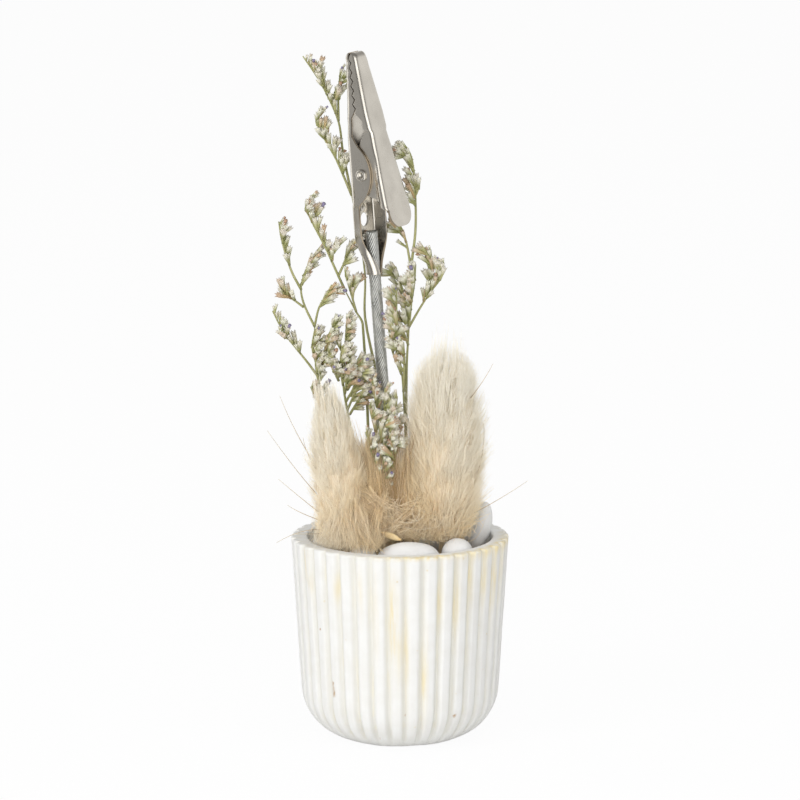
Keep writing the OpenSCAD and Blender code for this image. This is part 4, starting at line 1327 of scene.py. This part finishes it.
# Loose awns and husk
# Long bristles that stand out of the grass heads, a nest of broken fibres at their feet, and one straw husk
# that has dropped onto the front pebble.

# Sizes of these are in mm
AWN_R = (0.1, 0.05)
FIBRES = 420
FIBRE_R = 0.055
FIBRE_LEN = (4, 10)
FIBRES_RIGHT = 0.62
NEST_LEFT = (-14, 1)
NEST_RIGHT = (0, 17)
NEST_DEEP = (-12.5, -8)
NEST_HIGH = (49, 57)
FIBRE_SEED = 77
LINE_POINTS = 9
HUSK_ENDS = ((-4.6, -13, 50), (0.5, -14.6, 48.4))
HUSK_R = 0.75
HUSK_FLAT = 0.5
HUSK_RINGS = 12
HUSK_SIDES = 16
# Long bristles: where each leaves its head, a point it bends by, and its tip, in mm
AWNS = [
    ((-19.5, -8, 65), (-24, -8, 72), (-27.2, -8.5, 80.5)), ((-19, -9, 58), (-24, -10, 64), (-30, -11, 73)),
    ((-18.5, -10, 54), (-22, -11, 57), (-27.5, -12, 62)), ((-18, -10, 52), (-23, -11, 54), (-25.5, -12, 56)),
    ((-17, -11, 50), (-22, -12, 51), (-28, -13, 47.5)), ((-18, -9, 62), (-21, -9, 66), (-22, -9, 71)),
    ((17, -6, 53), (22, -8, 56), (29, -9, 61)), ((16, -8, 80), (19, -9, 84), (21, -9, 88)),
    ((17.5, -6, 62), (19.5, -7, 68), (19, -7, 74)), ((-16, -10, 49), (-20, -13, 49.5), (-24, -15, 50)),
]
awns = [rod(bent(*(Vector(p) for p in awn), LINE_POINTS), *AWN_R) for awn in AWNS]
draw = random.Random(FIBRE_SEED)
fibres = []
for _ in range(FIBRES):
    right = draw.random() < FIBRES_RIGHT
    across = draw.uniform(*(NEST_RIGHT if right else NEST_LEFT))
    deep = draw.uniform(*NEST_DEEP) + 0.12 * max(across, 0)
    centre = Vector((across, deep, draw.uniform(*NEST_HIGH)))
    way = Vector((draw.gauss(0.2, 0.8), draw.gauss(0, 0.5), draw.gauss(0.4, 0.7))).normalized()
    curl = scatter(draw, 1, 1, 1)
    half = draw.uniform(*FIBRE_LEN) / 2
    line = bent(centre - way * half, centre + curl * half * 0.44, centre + way * half, LINE_POINTS)
    shares = [0.12 + 0.8 * k / (LINE_POINTS - 1) for k in range(LINE_POINTS)]
    radii = [FIBRE_R * MM * math.sin(math.pi * s) for s in shares]
    fibres.append(([p * MM for p in line], radii, {"tone": draw.random(), "warm": draw.uniform(0.3, 1.0)}))
shown("loose_fibres", swept(fibres, 0), [silk_material], "holder", "dried_grass")

husk_start, husk_end = (Vector(p) * MM for p in HUSK_ENDS)
husk_way = husk_end - husk_start
husk_shares = [i / HUSK_RINGS for i in range(1, HUSK_RINGS)]
husk_line = [(HUSK_R * MM * math.sin(math.pi * s) ** 0.8, husk_way.length * s) for s in husk_shares]
husk_bm = spun([(0, 0)] + husk_line + [(0, husk_way.length)], HUSK_SIDES)
husk_place = Matrix.Translation(husk_start) @ pointed(husk_way) @ Matrix.Diagonal((HUSK_FLAT, 1, 1, 1))
bmesh.ops.transform(husk_bm, matrix=husk_place, verts=husk_bm.verts[:])

# Pale straw, streaked
straw = clouded((600, 3000, 0.4), (236, 216, 172), (214, 184, 132), rough="Grain")
straw_material = finish_material("straw", straw, (0.5, 0.75), (0.3, 0.1 * MM))
shown("straw_husk", husk_bm, [straw_material], "holder", "dried_grass")


def bristle(tree):
    """Stiff grey-brown bristle, paler at its tip."""
    return mixed(tree, attribute(tree, "reach"), srgb(176, 152, 116), srgb(206, 194, 170)), None, None


shown("awns", swept(awns, 1), [finish_material("bristle", bristle, 0.6)], "holder", "dried_grass")


# Floor and light
# A pale sweep that stays white, with soft lamps: a strong one from the left, one in front, weak ones from
# above and the right. Polished metal sees white walls, a grey one on the left and a bright one in front.
FLOOR_SIZE = 4.0
FLOOR_DROP = 0.0001
FLOOR_WHITE = 0.95
SURROUND = 0.5
WHITE = (1, 1, 1, 1)
ROOF = (0.3, 0.29, 0.28, 1)
ROOF_FROM = (0.25, 0.7)
WALL_TINT = (1, 0.985, 0.96)
# Lamps: place, size and power
LAMPS = {
    "key": ((-0.85, -0.75, 0.6), 0.5, 5.1), "top": ((0.1, -0.1, 1.0), 0.8, 1.6),
    "front": ((0.0, -1.0, 0.4), 0.6, 3.9), "right": ((0.9, -0.6, 0.5), 0.6, 0.9),
}
# Walls of the studio that metal sees: turn from the left round by the front in degrees, and brightness
WALLS = [
    (0, 0.8), (12, 0.55), (45, 0.44), (55, 0.2), (70, 0.18), (77, 2.2), (118, 2.6), (126, 0.8), (134, 0.22),
    (152, 0.7), (170, 1.05), (330, 1.05), (338, 2.0), (351, 2.0), (360, 0.8),
]


def studio_group():
    """Brightness of the studio's walls in a direction, and of its darker roof."""
    group = bpy.data.node_groups.new("studio_walls", "ShaderNodeTree")
    group.interface.new_socket(name="Direction", in_out="INPUT", socket_type="NodeSocketVector")
    group.interface.new_socket(name="Color", in_out="OUTPUT", socket_type="NodeSocketColor")
    given = node(group, "NodeGroupInput").outputs
    outside = node(group, "NodeGroupOutput")
    parts = node(group, "ShaderNodeSeparateXYZ", {0: given["Direction"]}).outputs
    turn = node(group, "ShaderNodeMath", {0: parts["Y"], 1: parts["X"]}, operation="ARCTAN2").outputs[0]
    ramp = node(group, "ShaderNodeValToRGB", {0: ranged(group, turn, -math.pi, math.pi)})
    roofed = mixed(group, ranged(group, parts["Z"], *ROOF_FROM), ramp.outputs[0], ROOF)
    steps = ramp.color_ramp.elements
    while len(steps) < len(WALLS):
        steps.new(0.5)
    for step, (angle, bright) in zip(steps, WALLS):
        step.position, step.color = angle / 360, (*(bright * part for part in WALL_TINT), 1)
    group.links.new(roofed, outside.inputs[0])
    return group


studio_walls = studio_group()


def studio(tree, way):
    """Colour of the studio in a direction."""
    return node(tree, "ShaderNodeGroup", {0: way}, node_tree=studio_walls).outputs[0]


def glow(tree, kind, colour, strength=1.0):
    """Light of one colour, from a surface or from the surround."""
    return node(tree, kind, {"Color": colour, "Strength": strength}).outputs[0]


def either(tree, share, first, second):
    """One shader or another, by the share of the second."""
    return node(tree, "ShaderNodeMixShader", {0: share, 1: first, 2: second}).outputs[0]


floor_bm = bmesh.new()
bmesh.ops.create_grid(floor_bm, x_segments=1, y_segments=1, size=FLOOR_SIZE / 2)
bmesh.ops.translate(floor_bm, vec=(0, 0, -FLOOR_DROP), verts=floor_bm.verts[:])
floor = placed("floor", mesh_of("floor", floor_bm))
floor_material = bpy.data.materials.new("floor")
floor_material.use_nodes = True
floor.data.materials.append(floor_material)
floor_tree = floor_material.node_tree
floor_shader = floor_tree.nodes["Principled BSDF"]
floor_shader.inputs["Base Color"].default_value = srgb(245, 245, 245)
floor_shader.inputs["Roughness"].default_value = 0.9
floor_shader.inputs["Specular IOR Level"].default_value = 0.0
floor_rays = node(floor_tree, "ShaderNodeLightPath").outputs
floor_place = node(floor_tree, "ShaderNodeTexCoord").outputs["Object"]
bright = glow(floor_tree, "ShaderNodeEmission", WHITE)
mirrored = glow(floor_tree, "ShaderNodeEmission", studio(floor_tree, floor_place))
seen = times(floor_tree, floor_rays["Is Camera Ray"], FLOOR_WHITE)
plain = either(floor_tree, seen, floor_shader.outputs[0], bright)
floor_look = either(floor_tree, floor_rays["Is Glossy Ray"], plain, mirrored)
floor_tree.links.new(floor_look, floor_tree.nodes["Material Output"].inputs["Surface"])

for name, (place, size, power) in LAMPS.items():
    lamp = placed(name, bpy.data.lights.new(name, "AREA"))
    lamp.data.size, lamp.data.energy = size, power
    lamp.location, lamp.visible_glossy = place, False
    lamp.rotation_euler = (Vector((0, 0, AIM_HEIGHT)) - Vector(place)).to_track_quat("-Z", "Y").to_euler()

world = bpy.data.worlds.new("surround")
bpy.context.scene.world = world
world.use_nodes = True
sky = world.node_tree
sky_rays = node(sky, "ShaderNodeLightPath").outputs
sky_way = node(sky, "ShaderNodeTexCoord").outputs["Generated"]
lit = glow(sky, "ShaderNodeBackground", WHITE, SURROUND)
mirrored = glow(sky, "ShaderNodeBackground", studio(sky, sky_way))
backdrop = glow(sky, "ShaderNodeBackground", WHITE)
bounced = either(sky, sky_rays["Is Glossy Ray"], lit, mirrored)
whole = either(sky, sky_rays["Is Camera Ray"], bounced, backdrop)
sky.links.new(whole, sky.nodes["World Output"].inputs["Surface"])
bpy.context.scene.view_settings.view_transform = "Standard"
